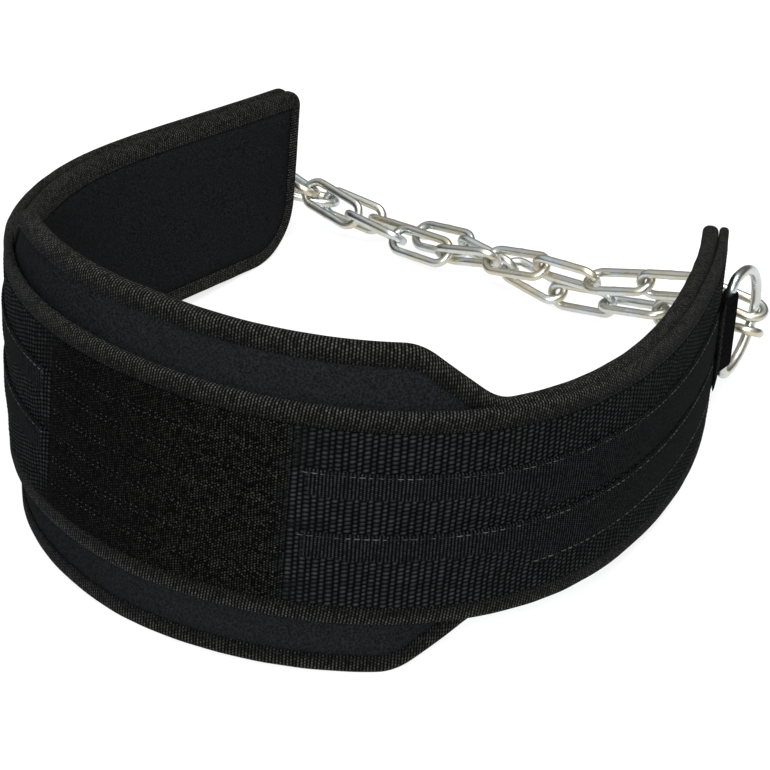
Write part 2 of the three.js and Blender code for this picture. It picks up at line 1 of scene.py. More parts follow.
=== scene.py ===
"""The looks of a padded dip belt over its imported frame, in metres.

The belt has its own measures, in millimetres, as in the part: "along" runs from the left end to the
right end with 0 at the middle, "height" is from the middle of the band, and "depth" is outward from
the groove between the inner pad (negative) and the outer band (positive).
"""
import math

import bpy
import numpy as np
from mathutils import Matrix, Vector


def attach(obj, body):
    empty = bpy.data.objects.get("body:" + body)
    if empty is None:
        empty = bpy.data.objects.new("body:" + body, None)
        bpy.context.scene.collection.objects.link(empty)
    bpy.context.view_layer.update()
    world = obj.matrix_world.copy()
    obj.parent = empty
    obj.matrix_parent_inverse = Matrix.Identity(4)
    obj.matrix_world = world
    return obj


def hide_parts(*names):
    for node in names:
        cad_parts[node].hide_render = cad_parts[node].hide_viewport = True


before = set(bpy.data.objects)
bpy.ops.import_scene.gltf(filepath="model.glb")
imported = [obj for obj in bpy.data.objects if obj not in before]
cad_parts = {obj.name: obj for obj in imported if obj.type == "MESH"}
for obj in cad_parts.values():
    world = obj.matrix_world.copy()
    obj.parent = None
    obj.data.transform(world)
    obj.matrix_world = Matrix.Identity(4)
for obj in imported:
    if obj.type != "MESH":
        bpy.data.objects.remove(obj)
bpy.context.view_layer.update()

MM = 0.001

# The belt as the part has it
BELT_LENGTH = 910
WING_HEIGHT = 105
LUMBAR_HEIGHT = 162.5
LUMBAR_LENGTH = 251
LUMBAR_MIDDLE = 5
FLARE_LENGTH = 40
FLARE_EASE = 0.2
TOP_END_RADIUS = 11
BOTTOM_END_RADIUS = 36
TURN = [-0.857, 0.011, 3.678, 4.374, 5.117, 4.749, 6.196, 6.908, 2.839, 1.527, 2.147]
LEAN = [-0.2, 2, 4.3, 3.7, 0.3, -3.2, -1.3, 0.5, 0.3, -1.9, -1.4]
TILT = 0.10368163852165084
SHIFT = (33.55329895019531, -188.67035164884044, 84.76435309137698)

CLEARANCE = 0.3
TAPE_WALL = 1.1
TAPE_WIDTH = 9.5
CORE_INSET = TAPE_WALL + CLEARANCE
PAD_OUTER = -0.15
PAD_INNER = -8.75
BAND_INNER = 0.15
BAND_CORE_INNER = 1.55
BAND_CORE_OUTER = 3.75
BAND_OUTER = 5.15
COVER_INNER = 4.05
COVER_INSET = TAPE_WIDTH + CLEARANCE
WEBBING_OUTER = 5.45
STRAP_INNER = 5.75
STRAP_OUTER = 7.05
STRAP_THICKNESS = 1.3
STRAP_WIDTH = 25
STRAP_SPREAD = 5.3
UPPER_STRAP_TOP = 24
PANEL_LEFT = -57
PANEL_RIGHT = 78
PANEL_ROWS = 7
RING_WIRE = 5.6
RING_INSIDE_WIDTH = 54
RING_REACH = 39.5
RING_CORNER = 7.5
RING_SETBACK = 22
RING_HEIGHT = -1
TAB_HEIGHT = 44
TAB_RISE = 2
TAB_LENGTH = 35
TAB_JOIN = 13
TAB_WRAP = 105
LINK_WIRE = 5
LINK_INSIDE = (35, 10)
CLASP_INSIDE = (44, 12)

END = BELT_LENGTH / 2
CORE_END = END - CORE_INSET
COVER_END = END - COVER_INSET
RING_ALONG = END - RING_SETBACK
TAB_START = RING_ALONG - TAB_LENGTH
STRAP_END = TAB_START - CLEARANCE
LEFT_START = PANEL_LEFT - CLEARANCE
RIGHT_START = PANEL_RIGHT + CLEARANCE

# How finely things are drawn: counts, and steps in millimetres
PLAN_POINTS = 1821
SLOPE_EASE = 40
END_ROWS = 14
END_REACH = 36
CLOSEST_ROWS = 0.25
EDGE_ROW = 0.05
CORNER_ROWS = 4
END_STRETCH = 1.5
PAD_STEP = 2.6
PAD_COLUMNS = 50
BAND_STEP = 4
BAND_COLUMNS = 24
TAPE_STEP = 2.0
TAPE_ROUND_STEPS = 8
PANEL_STEP = 1.6
PANEL_ROW_STEPS = 24
PANEL_BACK_STEP = 12
WEBBING_STEP = 0.84
WEBBING_END_REACH = 26
WEBBING_COLUMNS = 157
WEBBING_BACK_STEP = 13
STRAP_STEP = 1.0
STRAP_COLUMNS = 56
STRAP_BACK_STEP = 6
STITCH_SIDES = 6
LINK_SIDES = 18
RING_SIDES = 22
TURN_STEPS = 18
TAB_LAID_POINTS = 13
TAB_BACK_POINTS = 9
TAB_POINTS = 64
TAB_EASED_FROM = 40
TAB_COLUMNS = 27

# The slow unevenness of cloth: waves of these lengths, slants and phases, and a seed for each use
WAVES = 9
WAVE_LENGTHS = (28, 95)
WAVE_SLANT = 0.5
WAVE_PHASES = 6.28
PAD_SEED = 4
PANEL_SEED = 7
TAPE_SEED = 11
STRAY_SEEDS = (21, 22)

# Cloth detail, in millimetres
PAD_TUCK = 0.6
PAD_SWELL = 6
PAD_SUNK = 1.2
PAD_SUNK_REACH = 2.5
PAD_CROWN = 0.35
PAD_CROWN_REACH = 30
PAD_UNEVEN = 0.22
PAD_ROUND_OVER = 3.7
BAND_ROUND_OVER = 2.2
TAPE_UNEVEN = 0.12
TAPE_PUCKER = 0.06
LINING_BEVEL = (1.5, 1.2)
PANEL_BASE = 1.0
PANEL_PUFF = 1.45
PANEL_RIDGE = 0.28
PANEL_UNEVEN = 0.1
PANEL_EASE = 7
WEBBING_LIFT = 0.25
LIFT_REACH = 5
LIFT_EDGE = 1.2
WEBBING_EASE = 8
BUTTED = 0.13
STRAP_EASE = 14
STRAP_RISE = 1.1
STRAP_LEAST = 0.08
STRAP_LIP = 0.9
STRAP_SEAM = 1.7
STRAP_CREASE = 0.3
STRAP_CREASE_WIDTH = 0.6
STRAP_TAPER = 12
STRAP_EDGE_DROP = 0.3
COARSE_REACH = 150
COARSE_FADE = 90
COARSE_BELOW = 9.5
COARSE_BLEND = 6
GRAIN_PAIR = 6.0
GRAIN_HEIGHT = 2.15
GRAIN_RELIEF = 0.36
THREAD_STRAY = 0.4
TAB_RAMP = 12
TAB_BACK_SHORT = 0.5
WELD_LENGTH = 1.7

# Shares
PAD_EDGE_BIAS = 0.45
PUFF_POWER = 2.6
RIDGE_SHARE = 0.11
STRAP_THINNING = 0.35
GRAIN_WIDE_SHARE = 0.58
GRAIN_SLANT = -0.22
GRAIN_SINK = 0.1
STRAY_TIGHTNESS = 2.5
TAPE_TIGHTNESS = 1.7
PANEL_TIGHTNESS = (2.2, 2)
TAB_SQUARENESS = 26
TAB_EDGE_SHARE = 0.06
WELD_SWELL = 0.07
THREAD_FLATNESS = 0.7
CLOTH_SPECULAR = 0.005

# Stitches, in millimetres
STITCH_INSET = 7.7
STITCH_PITCH = 4.2
STITCH_LENGTH = 3.1
STITCH_WIDTH = 0.5
STITCH_SUNK = 0.1
SHORT_PITCH = 3.2
TAB_STITCH_LENGTH = 2.4
QUILT_STITCH_LENGTH = 1.1
QUILT_LINE_OFFSET = 1.15
QUILT_STITCH_RISE = 1.5
LOWER_SEAM = 1.9
LOWER_SEAM_START = 190
TAB_SEWN = (2.5, 19)
TAB_SEWN_LOW = -17
TAB_SEWN_HIGH = 21

# A thread's section from end to end, as (place, lift, thickness) in shares of its length and width
STITCH_SHAPE = [(-0.5, -0.5, 0.5), (-0.34, 0.15, 0.95), (0, 0.35, 1), (0.34, 0.15, 0.95), (0.5, -0.5, 0.5)]

# The face of a binding tape from its free edge, as (inset, sink), with a crease under the stitches
TAPE_FACE = [
    (TAPE_WIDTH + 0.2, 0.6),
    (TAPE_WIDTH, 0.25),
    (TAPE_WIDTH - 0.6, 0.06),
    (8.4, 0.02),
    (STITCH_INSET + 0.25, 0.12),
    (STITCH_INSET - 0.25, 0.12),
    (6.9, 0),
    (6, -0.05),
    (5, -0.02),
]


def smoothstep(x):
    x = np.clip(x, 0, 1)
    return x * x * (3 - 2 * x)


def bend_at(along, values):
    share = (np.asarray(along) / BELT_LENGTH + 0.5) * (len(values) - 1)
    return np.interp(share, np.arange(len(values)), values)


def smoothed(values, reach):
    window = np.hanning(2 * reach + 1)
    padded = np.pad(values, reach, mode="edge")
    return np.convolve(padded, window / window.sum(), mode="valid")


def belt_plan():
    """The plan of the belt at fine steps: along, x, y, heading and slope of the wall."""
    along = np.linspace(-END, END, PLAN_POINTS)
    step = along[1] - along[0]
    turn = bend_at(along, TURN) / BELT_LENGTH
    heading = np.concatenate([[0], np.cumsum((turn[1:] + turn[:-1]) / 2 * step)])
    heading -= np.interp(0, along, heading)
    middle = (heading[1:] + heading[:-1]) / 2
    x = np.concatenate([[0], np.cumsum(np.cos(middle) * step)])
    y = np.concatenate([[0], np.cumsum(np.sin(middle) * step)])
    slope = smoothed(np.tan(np.radians(bend_at(along, LEAN))), SLOPE_EASE)
    return along, x - np.interp(0, along, x), y - np.interp(0, along, y), heading, slope


PLAN = belt_plan()


def to_world(x, y, z):
    """Belt millimetres to world metres."""
    cos, sin = math.cos(TILT), math.sin(TILT)
    return np.stack([x + SHIFT[0], y * cos + z * sin + SHIFT[1], z * cos - y * sin + SHIFT[2]], -1) * MM


def place(along, height, depth):
    """Points of the belt in the world. Cloth is pressed flat where it rests."""
    along, height, depth = np.broadcast_arrays(*(np.asarray(v, float) for v in (along, height, depth)))
    x, y, heading, slope = (np.interp(along, PLAN[0], column) for column in PLAN[1:])
    reach = depth + height * slope
    points = to_world(x + np.sin(heading) * reach, y - np.cos(heading) * reach, height)
    under = np.maximum(-points[..., 2], 0)
    points[..., 2] += under
    points[..., 1] += under * math.tan(TILT)
    return points


def lumbar_share(along):
    t = (LUMBAR_LENGTH / 2 + FLARE_LENGTH - np.abs(np.asarray(along) - LUMBAR_MIDDLE)) / FLARE_LENGTH
    low = (np.clip(t, -FLARE_EASE, FLARE_EASE) + FLARE_EASE) ** 2 / (4 * FLARE_EASE)
    high = 1 - (1 + FLARE_EASE - np.clip(t, 1 - FLARE_EASE, 1 + FLARE_EASE)) ** 2 / (4 * FLARE_EASE)
    return np.where(t < FLARE_EASE, low, np.where(t > 1 - FLARE_EASE, high, t))


def pad_half(along):
    return (WING_HEIGHT + (LUMBAR_HEIGHT - WING_HEIGHT) * lumbar_share(along)) / 2


def band_half(along):
    return WING_HEIGHT / 2 + 0 * np.asarray(along, float)


def slope_height(half, along):
    return np.hypot(1, (half(along + CLEARANCE) - half(along - CLEARANCE)) / (2 * CLEARANCE))


def corner_draw(radius, from_end):
    radius = max(radius, 0)
    inside = np.clip(radius - from_end, 0, radius)
    return radius - np.sqrt(radius**2 - inside**2)


def layer_edges(half, inset, along):
    """The top and bottom of a layer that keeps an inset from the edge of the belt."""
    from_end = np.maximum(END - inset - np.abs(along), 0)
    reach = half(along) - inset * slope_height(half, along)
    return (
        reach - corner_draw(TOP_END_RADIUS - inset, from_end),
        corner_draw(BOTTOM_END_RADIUS - inset, from_end) - reach,
    )


def inset_at(half, along, height):
    """How far a point lies in from the edge of the belt."""
    slope = slope_height(half, along)
    from_end = END - np.abs(along)
    nearest = from_end
    for edge, radius in (
        ((half(along) - height) / slope, TOP_END_RADIUS),
        ((half(along) + height) / slope, BOTTOM_END_RADIUS),
    ):
        cornered = radius - np.hypot(radius - from_end, radius - edge)
        in_corner = (from_end < radius) & (edge < radius)
        nearest = np.minimum(nearest, np.where(in_corner, cornered, edge))
    return nearest


# Meshes


def add_object(name, data):
    obj = bpy.data.objects.new(name, data)
    bpy.context.scene.collection.objects.link(obj)
    return obj


def finish_mesh(name, vertices, faces, uvs=None):
    mesh = bpy.data.meshes.new(name)
    mesh.from_pydata(vertices.tolist(), [], faces)
    if uvs is not None:
        mesh.uv_layers.new(name="cloth").data.foreach_set("uv", np.asarray(uvs, np.float32).ravel())
    mesh.shade_smooth()
    return add_object(name, mesh)


def grid_body(name, points, uv, wrap_rows=False):
    """A closed body from rows of points whose columns wrap round. uv has a column more than
    points, and a row more where the rows wrap round too."""
    rows, columns = points.shape[:2]
    spans = rows if wrap_rows else rows - 1
    i, j = np.meshgrid(np.arange(spans), np.arange(columns), indexing="ij")
    i, j = i.ravel(), j.ravel()
    i2, j2 = (i + 1) % rows, (j + 1) % columns
    quads = np.stack([i * columns + j, i * columns + j2, i2 * columns + j2, i2 * columns + j], -1)
    corner_uv = np.stack([uv[i, j], uv[i, j + 1], uv[i + 1, j + 1], uv[i + 1, j]], 1)
    flat = points.reshape(-1, 3)
    a, b, c, d = (flat[quads[:, k]] for k in range(4))
    volume = (np.einsum("ij,ij->i", a, np.cross(b, c)) + np.einsum("ij,ij->i", a, np.cross(c, d))).sum()
    caps = []
    if not wrap_rows:
        caps = [list(range(columns))[::-1], [(rows - 1) * columns + k for k in range(columns)]]
    if volume < 0:
        quads, corner_uv = quads[:, ::-1], corner_uv[:, ::-1]
        caps = [cap[::-1] for cap in caps]
    uvs = [corner_uv.reshape(-1, 2)]
    for cap in caps:
        row = 0 if cap[0] < columns else rows - 1
        uvs.append(np.array([uv[row, index % columns] for index in cap]))
    return finish_mesh(name, flat, quads.tolist() + caps, np.concatenate(uvs))


def lengths_along(points):
    steps = np.linalg.norm(np.diff(points, axis=0), axis=-1)
    return np.concatenate([[0], np.cumsum(steps)])


def belt_layer(name, along, section):
    """A body along the belt. section(along) gives heights and depths, one column for each point."""
    heights, depths = section(along[:, None])
    points = place(along[:, None], heights, depths)
    around = np.concatenate([heights, heights[:, :1]], 1)
    uv = np.stack(strayed(np.broadcast_to(along[:, None], around.shape), around), -1)
    return grid_body(name, points, uv)


def along_lines(start, stop, step, dense_ends=0):
    """Places along the belt, closer together towards rounded ends."""
    count = max(int(round((stop - start) / step)), 2)
    lines = np.linspace(start, stop, count + 1)
    if dense_ends:
        ease = dense_ends * (1 - np.cos(np.linspace(0, math.pi / 2, END_ROWS)))
        lines = np.unique(np.round(np.concatenate([lines, start + ease, stop - ease]), 3))
        keep = np.concatenate([[True], np.diff(lines) > CLOSEST_ROWS])
        keep[-1] = True
        lines = lines[keep]
    return np.sort(np.append(lines, [start + EDGE_ROW, stop - EDGE_ROW]))


def two_faced(outer, inner):
    """A section with an outer face from top to bottom and an inner one back up."""
    return (
        np.concatenate([outer[0], inner[0][:, ::-1]], 1),
        np.concatenate([outer[1], inner[1][:, ::-1]], 1),
    )


def wrinkles(along, height, seed):
    """Slow unevenness of cloth, from -1 to 1."""
    rng = np.random.default_rng(seed)
    total = 0
    for _ in range(WAVES):
        wave, slant = rng.uniform(*WAVE_LENGTHS), rng.uniform(-WAVE_SLANT, WAVE_SLANT)
        phase = rng.uniform(0, WAVE_PHASES)
        run = along * math.cos(slant) + height * math.sin(slant)
        total = total + np.sin(2 * math.pi * run / wave + phase)
    return total / (WAVES / 2)


def strayed(along, height):
    """Where the threads of a weave are: they wander a little from straight lines."""
    u, v = along * STRAY_TIGHTNESS, height * STRAY_TIGHTNESS
    stray_along, stray_height = (THREAD_STRAY * wrinkles(u, v, seed) for seed in STRAY_SEEDS)
    return along + stray_along, height + stray_height


def pad_section(along):
    """A firm pad, sunk where the tape folds over it and crowned on the inside of the belt."""
    top, bottom = layer_edges(pad_half, CORE_INSET, along)
    t = np.linspace(0, 1, PAD_COLUMNS)[None, :]
    t = (1 - PAD_EDGE_BIAS) * t + PAD_EDGE_BIAS * (0.5 - 0.5 * np.cos(math.pi * t))
    heights = top + (bottom - top) * t
    inset = inset_at(pad_half, along, heights)
    swell = smoothstep((inset - TAPE_WIDTH + PAD_TUCK) / PAD_SWELL)
    sunk = CORE_INSET * (1 - swell) + PAD_SUNK * (1 - smoothstep((inset - CORE_INSET) / PAD_SUNK_REACH))
    crown = PAD_CROWN * smoothstep((inset - TAPE_WIDTH) / PAD_CROWN_REACH)
    uneven = PAD_UNEVEN * wrinkles(along, heights, PAD_SEED) * swell
    outer = PAD_OUTER - sunk - np.abs(uneven)
    inner = PAD_INNER + sunk - crown + uneven
    return two_faced((heights, outer), (heights, inner))


def band_section(along):
    top, bottom = layer_edges(band_half, CORE_INSET, along)
    heights = top + (bottom - top) * np.linspace(0, 1, BAND_COLUMNS)[None, :]
    return two_faced((heights, BAND_CORE_OUTER + 0 * heights), (heights, BAND_CORE_INNER + 0 * heights))


def end_radius(level):
    return TOP_END_RADIUS if level > 0 else BOTTOM_END_RADIUS


def edge_path(half):
    """The edge round the belt: along, height and the way in from the edge, and which edge it is."""
    parts = []

    def run(along, height, in_along, in_height):
        parts.append(np.stack(np.broadcast_arrays(along, height, in_along, in_height), -1))

    def corner(side, level):
        radius = end_radius(level)
        steps = int(radius * math.pi / 2 / TAPE_STEP) + CORNER_ROWS
        angle = np.linspace(0, math.pi / 2, steps)
        if side * level < 0:
            angle = angle[::-1]
        across, up = np.sin(angle), np.cos(angle)
        run(
            side * (END - radius + radius * across),
            level * (WING_HEIGHT / 2 - radius + radius * up),
            -side * across,
            -level * up,
        )

    def edge(level):
        radius = end_radius(level)
        reach = END - radius
        along = np.linspace(-level * reach, level * reach, int(2 * reach / TAPE_STEP))[1:-1]
        run(along, level * half(along), 0, -level * slope_height(half, along))

    def end(side):
        reach = WING_HEIGHT / 2
        heights = np.linspace(
            side * (reach - end_radius(side)),
            -side * (reach - end_radius(-side)),
            int(WING_HEIGHT / TAPE_STEP / END_STRETCH),
        )[1:-1]
        run(side * END, heights, -side, 0)

    edge(1)
    corner(1, 1)
    end(1)
    corner(1, -1)
    edge(-1)
    corner(-1, -1)
    end(-1)
    corner(-1, 1)
    return np.concatenate(parts)


def tape_section(outer, inner, round_over):
    """Points of (inset, depth) from the free edge outside, round the edge and back inside."""
    quarter = [
        (round_over * (1 - math.sin(a)), round_over * (1 - math.cos(a)))
        for a in np.linspace(0, math.pi / 2, TAPE_ROUND_STEPS)
    ]
    half = [(inset, outer - sink) for inset, sink in TAPE_FACE + quarter]
    back = [(inset, inner + sink) for inset, sink in TAPE_FACE + quarter]
    shell = half + back[::-1]
    low, high = inner + TAPE_WALL, outer - TAPE_WALL
    near, bevel = TAPE_WALL + LINING_BEVEL[0], LINING_BEVEL[1]
    lining = [(TAPE_WIDTH, low), (near, low), (TAPE_WALL, low + bevel)]
    lining += [(TAPE_WALL, high - bevel), (near, high), (TAPE_WIDTH, high)]
    return np.array(shell + lining)


def tape_body(name, half, outer, inner, round_over):
    """A tape folded round the edge of a layer, puckered between its stitches."""
    path = edge_path(half)
    section = tape_section(outer, inner, round_over)
    along, height, in_along, in_height = (path[:, k][:, None] for k in range(4))
    inset, depth = section[:, 0][None, :], section[:, 1][None, :]
    line = place(path[:, 0], path[:, 1], 0)
    run = lengths_along(np.concatenate([line, line[:1]])) / MM
    at = run[:-1, None]
    folded = inset < TAPE_WIDTH - CLEARANCE
    uneven = TAPE_UNEVEN * wrinkles(at * TAPE_TIGHTNESS, 0 * inset, TAPE_SEED) * folded
    near_stitches = np.exp(-((inset - STITCH_INSET) ** 2))
    pucker = TAPE_PUCKER * np.cos(2 * math.pi * at / STITCH_PITCH) * near_stitches
    outward = np.sign(depth - (outer + inner) / 2)
    points = place(along + in_along * inset, height + in_height * inset, depth + outward * (uneven + pucker))
    across = lengths_along(np.concatenate([section, section[:1]]))
    uv = np.stack(np.meshgrid(run, across, indexing="ij"), -1)
    return grid_body(name, points, uv, wrap_rows=True)


def cover_edges(along):
    return layer_edges(band_half, COVER_INSET, along)


def panel_section(along):
    """Rows that puff between pairs of stitch lines."""
    top, bottom = cover_edges(along)
    t = np.linspace(0, 1, PANEL_ROW_STEPS * PANEL_ROWS + 1)[None, :]
    heights = top + (bottom - top) * t
    row = np.abs(((t * PANEL_ROWS) % 1) - 0.5) * 2
    puff = 1 - row**PUFF_POWER
    ridge = PANEL_RIDGE * np.exp(-(((row - 1) / RIDGE_SHARE) ** 2))
    uneven = PANEL_UNEVEN * wrinkles(along * PANEL_TIGHTNESS[0], heights * PANEL_TIGHTNESS[1], PANEL_SEED)
    edge = smoothstep(np.minimum(along - PANEL_LEFT, PANEL_RIGHT - along) / PANEL_EASE)
    quilted = COVER_INNER + PANEL_BASE + PANEL_PUFF * puff + ridge + uneven * puff
    outer = WEBBING_OUTER + (quilted - WEBBING_OUTER) * edge
    back = heights[:, ::PANEL_BACK_STEP]
    return two_faced((heights, outer), (back, COVER_INNER + 0 * back))


def grain(along, height):
    """The relief of the coarse basket weave, from -0.5 to 0.5, in step with its material."""
    u, v = strayed(along, height)
    share = u / GRAIN_PAIR - np.floor(u / GRAIN_PAIR)
    narrow = share > GRAIN_WIDE_SHARE
    across = np.where(narrow, (share - GRAIN_WIDE_SHARE) / (1 - GRAIN_WIDE_SHARE), share / GRAIN_WIDE_SHARE)
    level = v / GRAIN_HEIGHT + 0.5 * narrow + GRAIN_SLANT * across
    return np.sin(math.pi * across) * np.abs(np.sin(math.pi * level)) - 0.5


def from_panel(along):
    """How far a place on a wing is from the end of the panel."""
    return np.abs(along) - np.where(along > 0, RIGHT_START, -LEFT_START)


def webbing_section(along):
    """The webbing swells a little under the lower edges of the straps, so that they blend in."""
    top, bottom = cover_edges(along)
    heights = top + (bottom - top) * np.linspace(0, 1, WEBBING_COLUMNS)[None, :]
    lift = 0
    for upper in (True, False):
        below = strap_top(along, upper) - STRAP_WIDTH - heights
        lift = lift + smoothstep(1 - below / LIFT_REACH) * smoothstep(1 + below / LIFT_EDGE)
    relief = GRAIN_RELIEF * grain(along, heights) * smoothstep(from_panel(along) / WEBBING_EASE)
    outer = WEBBING_OUTER + WEBBING_LIFT * np.minimum(lift, 1) + relief
    back = heights[:, ::WEBBING_BACK_STEP]
    return two_faced((heights, outer), (back, COVER_INNER + 0 * back))


def strap_top(along, upper):
    """The height of a strap's top edge. The lower strap drops away from the upper one."""
    if upper:
        return UPPER_STRAP_TOP + 0 * along
    start = np.where(along > 0, RIGHT_START, -LEFT_START)
    share = (TAB_START - np.abs(along)) / (TAB_START - start)
    return UPPER_STRAP_TOP - STRAP_WIDTH - CLEARANCE - STRAP_SPREAD * share


def coarse_share(along, below_top):
    """How much of the coarse weave shows on a strap: low on it, and next to the panel."""
    near = 1 - smoothstep((np.abs(along) - COARSE_REACH) / COARSE_FADE)
    low = smoothstep((below_top - COARSE_BELOW) / COARSE_BLEND) * near
    return np.maximum(low, 1 - smoothstep(from_panel(along) / STRAP_EASE))


def strap_section(upper):
    """A strap with a rounded, sewn top edge. It thins lower down, and sinks to the webbing's level
    next to the panel."""

    def section(along):
        top = strap_top(along, upper)
        below = STRAP_WIDTH * np.linspace(0, 1, STRAP_COLUMNS)[None, :]
        heights = top - below
        coarse = coarse_share(along, below)
        lip = STRAP_LIP * (1 - smoothstep(below / STRAP_LIP)) ** 2
        sewn = STRAP_CREASE * np.exp(-(((below - STRAP_SEAM) / STRAP_CREASE_WIDTH) ** 2))
        thinning = STRAP_THINNING + (1 - STRAP_THINNING) * coarse
        tail = smoothstep((below - STRAP_TAPER) / STRAP_TAPER) * thinning
        tail = tail + STRAP_EDGE_DROP * smoothstep(below - STRAP_WIDTH + 1)
        rise = smoothstep(from_panel(along) / STRAP_EASE)
        relief = GRAIN_RELIEF * (grain(along, heights) - GRAIN_SINK) * coarse
        outer = STRAP_OUTER - lip * rise - sewn - tail - STRAP_RISE * (1 - rise) + relief
        outer = np.maximum(outer, STRAP_INNER + STRAP_LEAST)
        back = heights[:, ::STRAP_BACK_STEP]
        return two_faced((heights, outer), (back, STRAP_INNER + 0 * back))

    return section


def stitch_mesh(name, rows):
    """Sewn threads. Each row is (centres, tangents, normals, length, width), in metres."""
    sides, count = STITCH_SIDES, len(STITCH_SHAPE) * STITCH_SIDES
    local = []
    for i in range(len(STITCH_SHAPE) - 1):
        for k in range(sides):
            a, b = i * sides + k, i * sides + (k + 1) % sides
            local.append((a, a + sides, b + sides, b))
    first = list(range(sides))
    last = [count - sides + k for k in range(sides)][::-1]
    vertices, faces, offset = [], [], 0
    for centres, tangents, normals, length, width in rows:
        across = np.cross(tangents, normals)
        rings = []
        for x, lift, thickness in STITCH_SHAPE:
            middle = centres + tangents * (x * length) + normals * (lift * width)
            for k in range(sides):
                angle = 2 * math.pi * (k + 0.5) / sides
                side = across * math.cos(angle) + normals * (THREAD_FLATNESS * math.sin(angle))
                rings.append(middle + side * (thickness * width / 2))
        for n in range(len(centres)):
            start = offset + n * count
            faces += [tuple(start + v for v in face) for face in local]
            faces += [tuple(start + v for v in first), tuple(start + v for v in last)]
        vertices.append(np.stack(rings, 1).reshape(-1, 3))
        offset += len(centres) * count
    return finish_mesh(name, np.concatenate(vertices), faces)


def stitch_row(along, height, depth, outward=1, pitch=STITCH_PITCH, length=STITCH_LENGTH):
    """Stitches along a line on the belt, given by many points of it."""
    line = place(along, height, depth)
    run = lengths_along(line)
    columns = [np.broadcast_to(column, run.shape) for column in (along, height, depth)]
    centres_at = np.arange(pitch * MM * 0.7, run[-1] - pitch * MM * 0.5, pitch * MM)
    place_at = [np.interp(centres_at, run, column) for column in columns]
    centres = place(*place_at)
    step = pitch * MM * 0.2
    tangents = place(*[np.interp(centres_at + step, run, column) for column in columns]) - centres
    tangents /= np.linalg.norm(tangents, axis=1)[:, None]
    away = place(place_at[0], place_at[1], place_at[2] + outward) - centres
    away -= tangents * np.einsum("ij,ij->i", away, tangents)[:, None]
    away /= np.maximum(np.linalg.norm(away, axis=1), 1e-9)[:, None]
    return centres, tangents, away, length * MM, STITCH_WIDTH * MM


def tape_stitches(half, depth, outward):
    path = edge_path(half)
    along = path[:, 0] + path[:, 2] * STITCH_INSET
    height = path[:, 1] + path[:, 3] * STITCH_INSET
    return stitch_row(along, height, depth, outward)


# Rings and links take their places from the nodes they stand for


def node_points(name):
    return np.array([v.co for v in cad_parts[name].data.vertices], float)


def node_axes(name):
    """The middle of a node's points and its axes, from the longest to the thinnest."""
    points = node_points(name)
    middle = points.mean(0)
    _, _, axes = np.linalg.svd(points - middle)
    return middle, axes


def arc(x, y, radius, start, stop, steps):
    angle = np.radians(np.linspace(start, stop, steps + 1))
    return np.stack([x + radius * np.cos(angle), y + radius * np.sin(angle)], -1)


def line(a, b, steps):
    t = np.linspace(0, 1, steps + 2)[1:-1, None]
    return np.array(a) * (1 - t) + np.array(b) * t


def wire_loop(name, loop, middle, x_axis, y_axis, radius, sides, swell=1):
    """A closed round wire along a flat loop of millimetres."""
    normal = np.cross(x_axis, y_axis)
    into = loop - np.roll(loop, 1, 0)
    away = np.roll(loop, -1, 0) - loop
    tangent = into / np.linalg.norm(into, axis=1)[:, None] + away / np.linalg.norm(away, axis=1)[:, None]
    tangent /= np.linalg.norm(tangent, axis=1)[:, None]
    across = np.stack([tangent[:, 1], -tangent[:, 0]], -1)
    angle = 2 * math.pi * np.arange(sides) / sides
    thick = radius * swell * np.ones(len(loop))
    flat = loop[:, None, :] + across[:, None, :] * (thick[:, None] * np.cos(angle))[..., None]
    rise = thick[:, None] * np.sin(angle)
    points = flat[..., :1] * x_axis + flat[..., 1:] * y_axis + rise[..., None] * normal
    run = lengths_along(np.concatenate([loop, loop[:1]]))
    around = np.linspace(0, 2 * math.pi * radius, sides + 1)
    uv = np.stack(np.meshgrid(run, around, indexing="ij"), -1)
    return grid_body(name, middle + points * MM, uv, wrap_rows=True)


def link_piece(name, inside):
    length, width = inside
    middle, axes = node_axes(name)
    radius = (width + LINK_WIRE) / 2
    reach = (length + LINK_WIRE) / 2 - radius
    loop = np.concatenate([
        arc(reach, 0, radius, -90, 90, TURN_STEPS),
        line((reach, radius), (-reach, radius), 9),
        arc(-reach, 0, radius, 90, 270, TURN_STEPS),
        line((-reach, -radius), (reach, -radius), 9),
    ])
    weld = np.where(loop[:, 1] > radius * 0.9, np.exp(-((loop[:, 0] / WELD_LENGTH) ** 2)), 0)
    swell = 1 + WELD_SWELL * weld
    return wire_loop(f"{name}_wire", loop, middle, axes[0], axes[1], LINK_WIRE / 2, LINK_SIDES, swell)


def ring_frame(name):
    """The middle of a ring's straight bar, the way to its bow and the way up the bar."""
    points = node_points(name)
    middle, axes = node_axes(name)
    bar, reach = axes[0], axes[1]
    away = (points - middle) @ reach
    ends = np.abs((points - middle) @ bar)
    if ends[away > away.max() - 4 * MM].mean() > ends[away < away.min() + 4 * MM].mean():
        reach, away = -reach, -away
    if bar[2] < 0:
        bar = -bar
    along_bar = (points - middle) @ bar
    centre = middle + reach * (away.min() + RING_WIRE / 2 * MM)
    centre = centre + bar * (along_bar.min() + along_bar.max()) / 2
    return centre, reach, bar


def ring_piece(name):
    centre, reach, bar = ring_frame(name)
    bow = (RING_INSIDE_WIDTH + RING_WIRE) / 2
    corner = bow - RING_CORNER
    loop = np.concatenate([
        arc(RING_REACH - bow, 0, bow, -90, 90, 40),
        line((RING_REACH - bow, bow), (RING_CORNER, bow), 2),
        arc(RING_CORNER, corner, RING_CORNER, 90, 180, 8),
        line((0, corner), (0, -corner), 12),
        arc(RING_CORNER, -corner, RING_CORNER, 180, 270, 8),
        line((RING_CORNER, -bow), (RING_REACH - bow, -bow), 2),
    ])
    return wire_loop(f"{name}_wire", loop, centre, reach, bar, RING_WIRE / 2, RING_SIDES)


